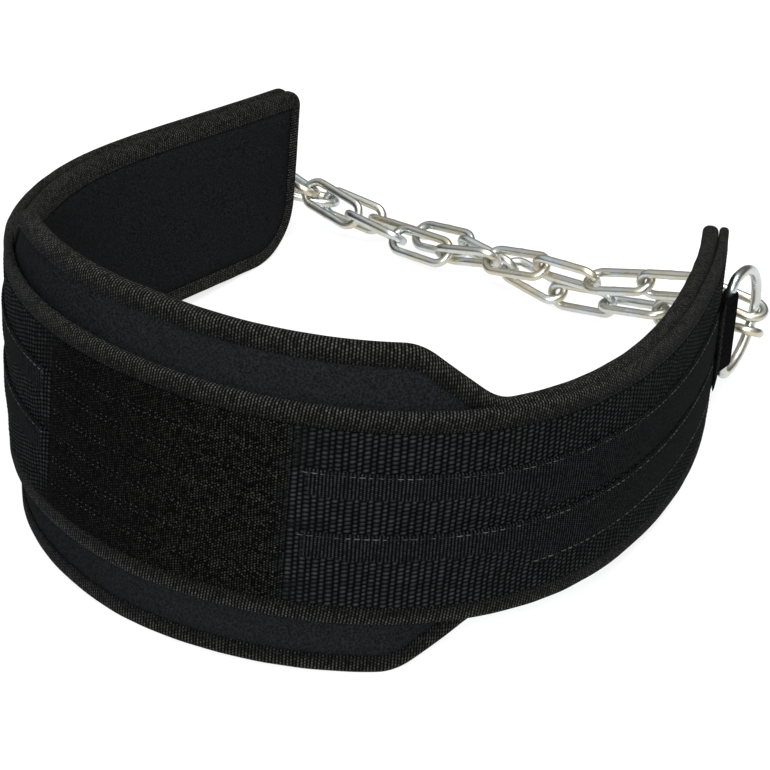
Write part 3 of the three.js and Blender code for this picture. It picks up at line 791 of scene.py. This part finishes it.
def to_belt(point):
    """A world point as belt x, y and z in millimetres."""
    x, y, z = np.array(point) / MM - np.array(SHIFT)
    cos, sin = math.cos(TILT), math.sin(TILT)
    return x, y * cos - z * sin, y * sin + z * cos


def tab_piece(name, ring, side):
    """The strap loop that holds a ring: it lies on the wing, wraps the bar and comes back."""
    centre, _, bar = ring_frame(ring)
    x, y, z = to_belt(centre)
    px, py, heading, slope = (np.interp(side * RING_ALONG, PLAN[0], column) for column in PLAN[1:])
    ahead = (x - px) * math.cos(heading) + (y - py) * math.sin(heading)
    bar_depth = (x - px) * math.sin(heading) - (y - py) * math.cos(heading) - z * slope
    bar_along = RING_ALONG + side * ahead
    half = STRAP_THICKNESS / 2
    wrap = RING_WIRE / 2 + CLEARANCE + half
    lower = STRAP_INNER + half
    upper = lower + STRAP_THICKNESS + 0.2
    laid_run = np.linspace(TAB_START, bar_along, TAB_LAID_POINTS + 1)[:-1]
    laid = np.stack([laid_run, np.full(TAB_LAID_POINTS, lower)], -1)
    laid[:, 1] += (bar_depth - wrap - lower) * smoothstep((laid[:, 0] - bar_along + TAB_RAMP) / TAB_RAMP)
    turned = arc(bar_along, bar_depth, wrap, -90, TAB_WRAP, TURN_STEPS)
    back_run = np.linspace(bar_along - TAB_JOIN, TAB_START + TAB_BACK_SHORT, TAB_BACK_POINTS)
    back = np.stack([back_run, np.full(TAB_BACK_POINTS, upper)], -1)
    path = np.concatenate([laid, turned, back])
    run = lengths_along(path)
    even = np.linspace(0, run[-1], TAB_POINTS)
    path = np.stack([np.interp(even, run, path[:, 0]), np.interp(even, run, path[:, 1])], -1)
    path[:, 1] = np.where(np.arange(TAB_POINTS) > TAB_EASED_FROM, smoothed(path[:, 1], 2), path[:, 1])
    tangent = np.gradient(path, axis=0)
    tangent /= np.linalg.norm(tangent, axis=1)[:, None]
    across = np.stack([-tangent[:, 1], tangent[:, 0]], -1)
    belt_bar = np.array(to_belt(centre + bar * 10 * MM)) - np.array([x, y, z])
    skew = side * (belt_bar[0] * math.cos(heading) + belt_bar[1] * math.sin(heading)) / belt_bar[2]
    levels = np.linspace(-TAB_HEIGHT / 2, TAB_HEIGHT / 2, TAB_COLUMNS)
    square = (np.abs(levels) / (TAB_HEIGHT / 2)) ** TAB_SQUARENESS
    round_edge = half * np.sqrt(np.clip(1 - square, TAB_EDGE_SHARE, 1))
    section_level = np.concatenate([levels, levels[::-1]])
    section_side = np.concatenate([round_edge, -round_edge[::-1]])
    share = np.clip((path[:, 0] - TAB_START) / TAB_LENGTH, 0, 1)[:, None]
    height = RING_HEIGHT + TAB_RISE + section_level[None, :]
    along = path[:, :1] + across[:, :1] * section_side[None, :] + share * skew * section_level[None, :]
    depth = path[:, 1:] + across[:, 1:] * section_side[None, :]
    points = place(side * along, height, depth)
    around = np.concatenate([section_level, section_level[:1]])
    uv = np.stack(np.meshgrid(even, around, indexing="ij"), -1)
    return grid_body(f"{name}_strap", points, uv), upper + half


# Materials. A woven cloth's colours are its threads' own dark tone, painted shade between them and a pale
# painted highlight on them; lengths are in millimetres

TAPE_DARK = (0.0026, 0.00255, 0.0025)
TAPE_HIGHLIGHT = (0.074, 0.0725, 0.066)
QUILT_SHADE = (0.0022, 0.0022, 0.0021)
QUILT_DARK = (0.0025, 0.00245, 0.0024)
QUILT_HIGHLIGHT = (0.031, 0.0307, 0.0285)
COARSE_SHADE = (0.0022, 0.0023, 0.0024)
COARSE_DARK = (0.0032, 0.0034, 0.0035)
COARSE_HIGHLIGHT = (0.0262, 0.0276, 0.028)
RIB_DARK = (0.003, 0.0032, 0.0033)
RIB_HIGHLIGHT = (0.029, 0.0305, 0.031)
BAND_DARK = (0.00396, 0.00396, 0.004224)
BAND_HIGHLIGHT = (0.0198, 0.0198, 0.0198)
TAB_DARK = (0.00264, 0.00264, 0.002904)
TAB_HIGHLIGHT = (0.0132, 0.0132, 0.01386)
FELT_DARK = (0.003, 0.0031, 0.0033)
FELT_PALE = (0.012, 0.0124, 0.0132)
FELT_RUBBED = (0.008, 0.0083, 0.0088)
LINT = (0.035, 0.035, 0.037)
SPOTS = (0.27, 0.255, 0.215)
RING_ZINC = {"bright": (0.5, 0.54, 0.56), "warm": (0.52, 0.505, 0.44)}
CHAIN_ZINC = {"bright": (0.545, 0.585, 0.595), "warm": (0.53, 0.49, 0.38)}
SUNK_THREAD = (0.005, 0.005, 0.005)
QUILT_DOT = 1.3
QUILT_LIT_FROM = -20
STRAP_RIB = 1.58
STRAP_PICK = 1.0
SEAM_STRAY = 34
SEAM_BLEND = (-7, 8)
SEAM_SHADE_REACH = 26


class Surface:
    """A material and short ways to add nodes to it."""

    def __init__(self, name, **sockets):
        self.material = bpy.data.materials.new(name)
        self.material.use_nodes = True
        self.nodes = self.material.node_tree.nodes
        self.links = self.material.node_tree.links
        self.shader = self.nodes["Principled BSDF"]
        for socket, value in sockets.items():
            self.shader.inputs[socket.replace("_", " ")].default_value = value

    def set(self, socket, value):
        if isinstance(value, bpy.types.NodeSocket):
            self.links.new(value, socket)
        elif value is not None:
            socket.default_value = value

    def math(self, operation, *values):
        node = self.nodes.new("ShaderNodeMath")
        node.operation = operation
        for socket, value in zip(node.inputs, values):
            self.set(socket, value)
        return node.outputs[0]

    def plus(self, a, b):
        return self.math("ADD", a, b)

    def minus(self, a, b):
        return self.math("SUBTRACT", a, b)

    def times(self, a, b):
        return self.math("MULTIPLY", a, b)

    def over(self, a, b):
        return self.math("DIVIDE", a, b)

    def mix(self, share, low, high):
        node = self.nodes.new("ShaderNodeMix")
        node.data_type = "RGBA"
        self.set(node.inputs[0], share)
        self.set(node.inputs[6], (*low, 1) if isinstance(low, tuple) else low)
        self.set(node.inputs[7], (*high, 1) if isinstance(high, tuple) else high)
        return node.outputs[2]

    def uv(self):
        node = self.nodes.new("ShaderNodeUVMap")
        node.uv_map = "cloth"
        split = self.nodes.new("ShaderNodeSeparateXYZ")
        self.links.new(node.outputs[0], split.inputs[0])
        return split.outputs[0], split.outputs[1]

    def noise(self, scale, detail=3, roughness=0.55):
        node = self.nodes.new("ShaderNodeTexNoise")
        self.links.new(self.nodes.new("ShaderNodeTexCoord").outputs["Object"], node.inputs["Vector"])
        node.inputs["Scale"].default_value = scale
        node.inputs["Detail"].default_value = detail
        node.inputs["Roughness"].default_value = roughness
        return node.outputs["Fac"]

    def cell(self, x, y):
        join = self.nodes.new("ShaderNodeCombineXYZ")
        self.set(join.inputs[0], x)
        self.set(join.inputs[1], y)
        node = self.nodes.new("ShaderNodeTexWhiteNoise")
        node.noise_dimensions = "2D"
        self.links.new(join.outputs[0], node.inputs["Vector"])
        return node.outputs["Value"]

    def ramp(self, value, low, high):
        node = self.nodes.new("ShaderNodeMapRange")
        node.interpolation_type = "SMOOTHSTEP"
        self.set(node.inputs["Value"], value)
        node.inputs["From Min"].default_value = low
        node.inputs["From Max"].default_value = high
        return node.outputs["Result"]

    def bump(self, height, distance):
        node = self.nodes.new("ShaderNodeBump")
        node.inputs["Distance"].default_value = distance * MM
        self.set(node.inputs["Height"], height)
        return node.outputs["Normal"]

    def finish(self, colour, roughness=None, normal=None):
        self.set(self.shader.inputs["Base Color"], colour)
        self.set(self.shader.inputs["Roughness"], roughness)
        self.set(self.shader.inputs["Normal"], normal)
        return self.material


def hump(s, value):
    """0 at whole numbers and 1 half way between them."""
    return s.math("ABSOLUTE", s.math("SINE", s.times(value, math.pi)))


def wandering(s, reach):
    """Cloth coordinates whose threads stray by up to a share of a millimetre."""
    u, v = s.uv()
    stray_u = s.times(s.minus(s.noise(110, 3), 0.5), reach)
    stray_v = s.times(s.minus(s.noise(97, 3), 0.5), reach)
    return s.plus(u, stray_u), s.plus(v, stray_v)


def toned(s, relief, shine, dark, highlight):
    """Painted shade between the threads, the thread's own tone on them, and a painted highlight where they
    would catch light.
    """
    # painted shade: the thread's tone is cut to a third between the threads
    body = s.mix(s.ramp(relief, 0.1, 0.8), tuple(c * 0.3 for c in dark), dark)
    # painted highlight: the pale colour wherever shine is high
    return s.mix(shine, body, highlight)


def rib_weave(s, u, v, pitch, pick, dark, highlight, slant=0):
    """Ribs across a tape, each a row of short picks."""
    across = s.over(s.plus(u, s.times(v, slant)), pitch)
    column = s.math("FLOOR", across)
    odd = s.times(s.math("FLOORED_MODULO", column, 2), 0.5)
    up = s.plus(s.over(v, pick), odd)
    rib, dash = hump(s, across), hump(s, up)
    random = s.cell(column, s.math("FLOOR", up))
    # painted highlight: strongest on the crowns of the ribs and mid-pick, at random strength from pick to
    # pick
    lit = s.plus(s.times(s.math("POWER", dash, 2), 0.8), 0.2)
    lit = s.times(lit, s.plus(s.times(random, 0.8), 0.2))
    shine = s.times(s.math("POWER", rib, 4), lit)
    relief = s.times(rib, s.plus(s.times(dash, 0.3), 0.7))
    return toned(s, rib, shine, dark, highlight), relief


def grain_weave(s, u, v, dark, highlight):
    """A coarse basket weave: columns of wide and narrow slanted grains, in turn."""
    pair = s.over(u, GRAIN_PAIR)
    share = s.math("FRACT", pair)
    narrow = s.math("GREATER_THAN", share, GRAIN_WIDE_SHARE)
    start = s.times(narrow, GRAIN_WIDE_SHARE)
    width = s.minus(GRAIN_WIDE_SHARE, s.times(narrow, 2 * GRAIN_WIDE_SHARE - 1))
    across = s.over(s.minus(share, start), width)
    column = s.plus(s.times(s.math("FLOOR", pair), 2), narrow)
    lifted = s.plus(s.times(narrow, 0.5), s.times(across, GRAIN_SLANT))
    level = s.plus(s.over(v, GRAIN_HEIGHT), lifted)
    random = s.cell(column, s.math("FLOOR", level))
    along, over = hump(s, across), hump(s, level)
    relief = s.times(along, over)
    # painted highlight on the crown of each grain, at random strength from grain to grain
    tone = s.plus(s.times(random, 0.6), 0.4)
    shine = s.times(s.math("POWER", relief, 1.7), tone)
    return toned(s, relief, shine, dark, highlight), relief


def dot_weave(s, u, v, pitch, dark, highlight):
    """A plain fine weave whose crossings show as dots."""
    across = s.over(u, pitch)
    column = s.math("FLOOR", across)
    odd = s.times(s.math("FLOORED_MODULO", column, 2), 0.5)
    up = s.plus(s.over(v, pitch), odd)
    dot = s.times(hump(s, across), hump(s, up))
    random = s.cell(column, s.math("FLOOR", up))
    # painted highlight: glints on the crossings, at random strength
    shine = s.times(s.math("POWER", dot, 2), s.math("POWER", random, 1.3))
    return toned(s, dot, shine, dark, highlight), dot


def joined(s, share, low, high):
    """One weave that gives way to another."""
    height = s.plus(low[1], s.times(share, s.minus(high[1], low[1])))
    return s.mix(share, low[0], high[0]), height


def cloth(name, roughness=0.8, sheen=0):
    s = Surface(name, Specular_IOR_Level=CLOTH_SPECULAR, Sheen_Weight=sheen, Sheen_Roughness=0.5)
    s.shader.inputs["Roughness"].default_value = roughness
    s.shader.inputs["Sheen Tint"].default_value = (0.9, 0.93, 1, 1)
    return s


def rubbed(s, weave, relief_mm):
    """Finishes a cloth with its relief and the fuzz of its threads."""
    colour, height = weave
    fuzz = s.times(s.noise(2500, 2), 0.25)
    return s.finish(colour, None, s.bump(s.plus(height, fuzz), relief_mm))


def tape_material(name, pitch, pick, slant):
    s = cloth(name, sheen=0.009)
    u, v = wandering(s, 0.9)
    colour, relief = rib_weave(s, u, v, pitch, pick, TAPE_DARK, TAPE_HIGHLIGHT, slant)
    # Edge wear and painted light together: the tape's flat face is painted darker towards its inner edge,
    # while its rolled edge and inside keep their full, lighter tone
    fold = s.ramp(v, 1, TAPE_WIDTH)
    wear_and_edge_light = s.plus(s.times(fold, 0.62), 0.38)
    return rubbed(s, (s.mix(wear_and_edge_light, tuple(c * 0.6 for c in TAPE_DARK), colour), relief), 0.35)


def cover_material(name):
    """The quilted nylon and the coarse webbing, which meet in an uneven line at the panel's ends."""
    s = cloth(name)
    u, v = wandering(s, 0.25)
    # Painted light and shade: the quilt is lighter towards the panel's right end and shaded towards its left
    # end
    lit = s.plus(s.times(s.ramp(u, QUILT_LIT_FROM, PANEL_RIGHT), 0.75), 0.45)
    quilt = dot_weave(s, u, v, QUILT_DOT, QUILT_DARK, QUILT_HIGHLIGHT)
    coarse = grain_weave(s, u, v, COARSE_DARK, COARSE_HIGHLIGHT)
    quilt = (s.mix(lit, QUILT_SHADE, quilt[0]), quilt[1])
    middle, reach = (PANEL_LEFT + PANEL_RIGHT) / 2, (PANEL_RIGHT - PANEL_LEFT) / 2
    past = s.minus(s.math("ABSOLUTE", s.minus(u, middle)), reach)
    uneven = s.times(s.minus(s.noise(170, 4, 0.7), 0.5), SEAM_STRAY)
    share = s.ramp(s.plus(past, uneven), *SEAM_BLEND)
    # painted shade: the coarse webbing is darker next to the ends of the panel, fading out over
    # SEAM_SHADE_REACH
    seam_shade = s.plus(s.times(s.ramp(past, 0, SEAM_SHADE_REACH), 0.4), 0.6)
    coarse = (s.mix(seam_shade, COARSE_SHADE, coarse[0]), coarse[1])
    return rubbed(s, joined(s, share, quilt, coarse), 0.45)


def strap_material(name):
    """Fine ribs across the strap that give way to coarse grains low on it, near the panel."""
    s = cloth(name)
    u, v = wandering(s, 0.25)
    ribs = rib_weave(s, u, v, STRAP_RIB, STRAP_PICK, RIB_DARK, RIB_HIGHLIGHT)
    coarse = grain_weave(s, u, v, COARSE_DARK, COARSE_HIGHLIGHT)
    share = s.nodes.new("ShaderNodeAttribute")
    share.attribute_name = "coarse"
    uneven = s.times(s.minus(s.noise(150, 2), 0.5), 0.9)
    edge = s.ramp(s.plus(share.outputs["Fac"], uneven), 0.3, 0.7)
    return rubbed(s, joined(s, edge, ribs, coarse), 0.4)


def plain_material(name, pitch, dark, highlight):
    s = cloth(name)
    u, v = wandering(s, 0.5)
    return rubbed(s, dot_weave(s, u, v, pitch, dark, highlight), 0.25)


def felt_material():
    s = cloth("pad felt", 0.9)
    fine = s.ramp(s.noise(1050, 2, 0.6), 0.32, 0.7)
    broad = s.ramp(s.noise(14, 4), 0.3, 0.75)
    colour = s.mix(fine, FELT_DARK, FELT_PALE)
    colour = s.mix(s.times(broad, 0.3), colour, FELT_RUBBED)
    lint = s.ramp(s.noise(900, 1, 0.4), 0.74, 0.82)
    colour = s.mix(s.times(lint, 0.2), colour, LINT)
    return s.finish(colour, None, s.bump(s.noise(1900, 3, 0.8), 0.12))


def zinc_material(name, roughness, bright, warm):
    """Zinc plate with warm clouds and dull spots."""
    s = Surface(name, Metallic=1.0)
    cloud = s.ramp(s.noise(55, 4), 0.32, 0.66)
    colour = s.mix(cloud, bright, warm)
    spots = s.ramp(s.noise(420, 3, 0.6), 0.56, 0.72)
    colour = s.mix(s.times(spots, 0.35), colour, SPOTS)
    fine = s.noise(900, 3)
    uneven = s.plus(s.times(cloud, 0.08), s.times(fine, 0.08))
    rough = s.plus(roughness, uneven)
    return s.finish(colour, rough, s.bump(s.noise(700, 3, 0.7), 0.02))


def thread_material(name, low, high):
    """Thread that lies bare in some places and sinks into the cloth in others."""
    s = Surface(name, Specular_IOR_Level=0.08, Roughness=0.5)
    bare = s.ramp(s.noise(190, 2), 0.42, 0.62)
    return s.finish(s.mix(bare, low, high), None, s.bump(s.noise(3200, 2), 0.08))


MATERIALS = {
    "pad_felt": felt_material(),
    "pad_binding_tape": tape_material("pad binding tape", pitch=1.6, pick=1.6, slant=0),
    "band_binding_tape": tape_material("band binding tape", pitch=1.5, pick=1.5, slant=-0.12),
    "band_nylon": plain_material("band nylon", 1.2, BAND_DARK, BAND_HIGHLIGHT),
    "quilted_nylon": cover_material("quilted nylon"),
    "coarse_webbing": cover_material("coarse webbing"),
    "ribbed_strap": strap_material("ribbed strap"),
    "tab_webbing": plain_material("tab webbing", 1.3, TAB_DARK, TAB_HIGHLIGHT),
    "ring_steel": zinc_material("ring steel", 0.22, **RING_ZINC),
    "chain_steel": zinc_material("chain steel", 0.27, **CHAIN_ZINC),
    "clasp_steel": zinc_material("clasp steel", 0.27, **CHAIN_ZINC),
}
THREAD = thread_material("sewing thread", (0.0025, 0.0025, 0.0025), (0.008, 0.008, 0.008))
DULL_THREAD = thread_material("quilting thread", SUNK_THREAD, (0.036, 0.036, 0.034))
LIGHT_THREAD = thread_material("light sewing thread", SUNK_THREAD, (0.06, 0.06, 0.058))


def dress(obj, slot, *nodes, material=None):
    """Gives a piece its material, looked up by slot unless one is given, puts it under the root body and
    hides the CAD nodes that it stands for.
    """
    obj.data.materials.append(material or MATERIALS[slot])
    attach(obj, "root")
    if nodes:
        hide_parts(*nodes)
    return obj


# The belt

lines = along_lines(-CORE_END, CORE_END, PAD_STEP, END_REACH)
pad = dress(belt_layer("inner_pad_cushion", lines, pad_section), "pad_felt", "inner_pad")
tape = tape_body("inner_pad_tape", pad_half, PAD_OUTER, PAD_INNER, PAD_ROUND_OVER)
dress(tape, "pad_binding_tape", "inner_pad_binding")
lines = along_lines(-CORE_END, CORE_END, BAND_STEP, END_REACH)
band = dress(belt_layer("outer_band_layer", lines, band_section), "band_nylon", "outer_band")
tape = tape_body("outer_band_tape", band_half, BAND_OUTER, BAND_INNER, BAND_ROUND_OVER)
dress(tape, "band_binding_tape", "outer_band_binding")
lines = along_lines(PANEL_LEFT - BUTTED, PANEL_RIGHT + BUTTED, PANEL_STEP)
panel = dress(belt_layer("lumbar_panel_quilt", lines, panel_section), "quilted_nylon", "lumbar_panel")

for side, (start, stop), (strap_start, strap_stop) in (
    ("right", (RIGHT_START - BUTTED, COVER_END), (RIGHT_START, STRAP_END)),
    ("left", (-COVER_END, LEFT_START + BUTTED), (-STRAP_END, LEFT_START)),
):
    lines = along_lines(start, stop, WEBBING_STEP, WEBBING_END_REACH)
    webbing = belt_layer(f"webbing_{side}_cloth", lines, webbing_section)
    dress(webbing, "coarse_webbing", f"webbing_{side}")
    for level, upper in (("upper", True), ("lower", False)):
        lines = along_lines(strap_start, strap_stop, STRAP_STEP)
        strap = belt_layer(f"{level}_strap_{side}_cloth", lines, strap_section(upper))
        front = STRAP_WIDTH * np.linspace(0, 1, STRAP_COLUMNS)
        below = np.concatenate([front, 0 * front[::STRAP_BACK_STEP]])
        shares = coarse_share(lines[:, None], below[None, :]).ravel()
        strap.data.attributes.new("coarse", "FLOAT", "POINT").data.foreach_set("value", shares)
        dress(strap, "ribbed_strap", f"{level}_strap_{side}")

for side, sign in (("right", 1), ("left", -1)):
    tab, tab_face = tab_piece(f"ring_tab_{side}", f"ring_{side}", sign)
    dress(tab, "tab_webbing", f"ring_tab_{side}")
    dress(ring_piece(f"ring_{side}"), "ring_steel", f"ring_{side}")
    near, far = TAB_START + TAB_SEWN[0], TAB_START + TAB_SEWN[1]
    corners = [(near, TAB_SEWN_LOW), (near, TAB_SEWN_HIGH), (far, TAB_SEWN_HIGH), (far, TAB_SEWN_LOW)]
    sewn = []
    for a, b in [(0, 1), (1, 2), (2, 3), (3, 0), (0, 2), (1, 3)]:
        t = np.linspace(0, 1, 30)
        u = sign * (corners[a][0] * (1 - t) + corners[b][0] * t)
        h = corners[a][1] * (1 - t) + corners[b][1] * t
        sewn.append(stitch_row(u, h, tab_face, pitch=SHORT_PITCH, length=TAB_STITCH_LENGTH))
    dress(stitch_mesh(f"tab_stitches_{side}", sewn), "tab_webbing", material=THREAD)

for node in sorted(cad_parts):
    if node == "chain_clasp":
        dress(link_piece(node, CLASP_INSIDE), "clasp_steel", node)
    elif node.startswith("chain_"):
        dress(link_piece(node, LINK_INSIDE), "chain_steel", node)

# Stitches
pad_rows = [
    tape_stitches(pad_half, PAD_OUTER - STITCH_SUNK, 1),
    tape_stitches(pad_half, PAD_INNER + STITCH_SUNK, -1),
]
dress(stitch_mesh("inner_pad_tape_stitches", pad_rows), "pad_binding_tape", material=THREAD)
band_rows = [tape_stitches(band_half, BAND_OUTER - STITCH_SUNK, 1)]
dress(stitch_mesh("outer_band_tape_stitches", band_rows), "band_binding_tape", material=THREAD)

strap_rows = []
for sign, start in ((1, RIGHT_START), (-1, -LEFT_START)):
    u = sign * np.linspace(start + 3, STRAP_END - 3, 260)
    for upper in (True, False):
        strap_rows.append(stitch_row(u, strap_top(u, upper) - STRAP_SEAM, STRAP_OUTER - 0.2))
    u = sign * np.linspace(LOWER_SEAM_START, STRAP_END - 3, 200)
    strap_rows.append(stitch_row(u, strap_top(u, False) - STRAP_WIDTH + LOWER_SEAM, STRAP_OUTER - 0.35))
dress(stitch_mesh("strap_stitches", strap_rows), "ribbed_strap", material=LIGHT_THREAD)

panel_rows = []
u = np.linspace(PANEL_LEFT + 2, PANEL_RIGHT - 2, 120)
panel_top, panel_bottom = cover_edges(u)
for row in range(1, PANEL_ROWS):
    middle = panel_top + (panel_bottom - panel_top) * row / PANEL_ROWS
    for offset in (-QUILT_LINE_OFFSET, QUILT_LINE_OFFSET):
        depth = COVER_INNER + QUILT_STITCH_RISE
        sewn = stitch_row(u, middle + offset, depth, pitch=SHORT_PITCH, length=QUILT_STITCH_LENGTH)
        panel_rows.append(sewn)
dress(stitch_mesh("lumbar_panel_stitches", panel_rows), "quilted_nylon", material=DULL_THREAD)

# Camera, light and floor
CAMERA_AZIMUTH = 35.139
CAMERA_ELEVATION = 25.29
CAMERA_ROLL = 4.973
CAMERA_TARGET = (0, 130, 0)
CAMERA_AWAY = (33.157, -3.411, 1136.2)
CAMERA_FOCUS_PIXELS = 2311.03
PICTURE_PIXELS = 770
SENSOR = 36
WORLD_STRENGTH = 0.72
WORLD_BASE = 0.08
WORLD_BRIGHT_WAY = (0, -0.4, 0.8)
WORLD_STOPS = [
    (0, (0.12, 0.115, 0.105)),
    (0.2, (0.3, 0.295, 0.275)),
    (0.5, (0.74, 0.75, 0.75)),
    (0.9, (1.05, 1.1, 1.16)),
]


def add_camera():
    """The photograph's camera, which stands in the belt's own frame."""
    azimuth, elevation, roll = (math.radians(v) for v in (CAMERA_AZIMUTH, CAMERA_ELEVATION, CAMERA_ROLL))
    flat = math.cos(elevation)
    back = Vector((math.sin(azimuth) * flat, -math.cos(azimuth) * flat, math.sin(elevation)))
    level = Vector((math.cos(azimuth), math.sin(azimuth), 0))
    rise = back.cross(level)
    right = level * math.cos(roll) + rise * math.sin(roll)
    up = rise * math.cos(roll) - level * math.sin(roll)
    x, y, z = CAMERA_AWAY
    at = Vector(CAMERA_TARGET) + right * x + up * y + back * z
    turn = Matrix.Rotation(-TILT, 3, "X")
    axes = Matrix((turn @ right, turn @ up, turn @ back)).transposed()
    camera = add_object("camera", bpy.data.cameras.new("camera"))
    camera.data.lens = CAMERA_FOCUS_PIXELS / PICTURE_PIXELS * SENSOR
    camera.data.sensor_width = SENSOR
    camera.matrix_world = Matrix.Translation(Vector(to_world(*at))) @ axes.to_4x4()
    bpy.context.scene.camera = camera


def add_area(name, at, towards, size, power, colour):
    light = bpy.data.lights.new(name, "AREA")
    light.shape = "RECTANGLE"
    light.size, light.size_y = size
    light.energy = power
    light.color = colour
    obj = add_object(name, light)
    obj.location = at
    obj.rotation_euler = (Vector(towards) - Vector(at)).to_track_quat("-Z", "Y").to_euler()


def add_floor():
    size = 9
    corners = [(-size, -size, 0), (size, -size, 0), (size, size, 0), (-size, size, 0)]
    mesh = bpy.data.meshes.new("floor")
    mesh.from_pydata(corners, [], [(0, 1, 2, 3)])
    floor = add_object("floor", mesh)
    s = Surface("lit floor", Roughness=0.9, Specular_IOR_Level=0.1, Emission_Strength=0.75)
    s.shader.inputs["Emission Color"].default_value = (1, 1, 1, 1)
    floor.data.materials.append(s.finish(s.mix(s.noise(3, 2), (0.27, 0.27, 0.275), (0.29, 0.29, 0.29))))


def add_world():
    """A soft sky, brighter above and in front of the belt."""
    world = bpy.data.worlds.new("studio")
    bpy.context.scene.world = world
    world.use_nodes = True
    nodes, links = world.node_tree.nodes, world.node_tree.links
    bright = nodes.new("ShaderNodeVectorMath")
    bright.operation = "DOT_PRODUCT"
    links.new(nodes.new("ShaderNodeTexCoord").outputs["Generated"], bright.inputs[0])
    bright.inputs[1].default_value = WORLD_BRIGHT_WAY
    total = nodes.new("ShaderNodeMath")
    links.new(bright.outputs["Value"], total.inputs[0])
    total.inputs[1].default_value = WORLD_BASE
    ramp = nodes.new("ShaderNodeValToRGB")
    links.new(total.outputs[0], ramp.inputs[0])
    links.new(ramp.outputs[0], nodes["Background"].inputs[0])
    nodes["Background"].inputs[1].default_value = WORLD_STRENGTH
    (low, low_colour), *between, (high, high_colour) = WORLD_STOPS
    stops = ramp.color_ramp.elements
    stops[0].position, stops[0].color = low, (*low_colour, 1)
    stops[1].position, stops[1].color = high, (*high_colour, 1)
    for position, colour in between:
        stops.new(position).color = (*colour, 1)


add_camera()
add_floor()
add_world()
add_area("key", (0.5, 0.1, 1.7), (0, 0, 0.05), (1.4, 1.0), 24, (1.0, 0.99, 0.97))
add_area("front", (1.0, -1.55, 1.25), (0, 0, 0.08), (0.9, 0.7), 52, (0.96, 0.98, 1.0))

bpy.context.scene.view_settings.view_transform = "Standard"
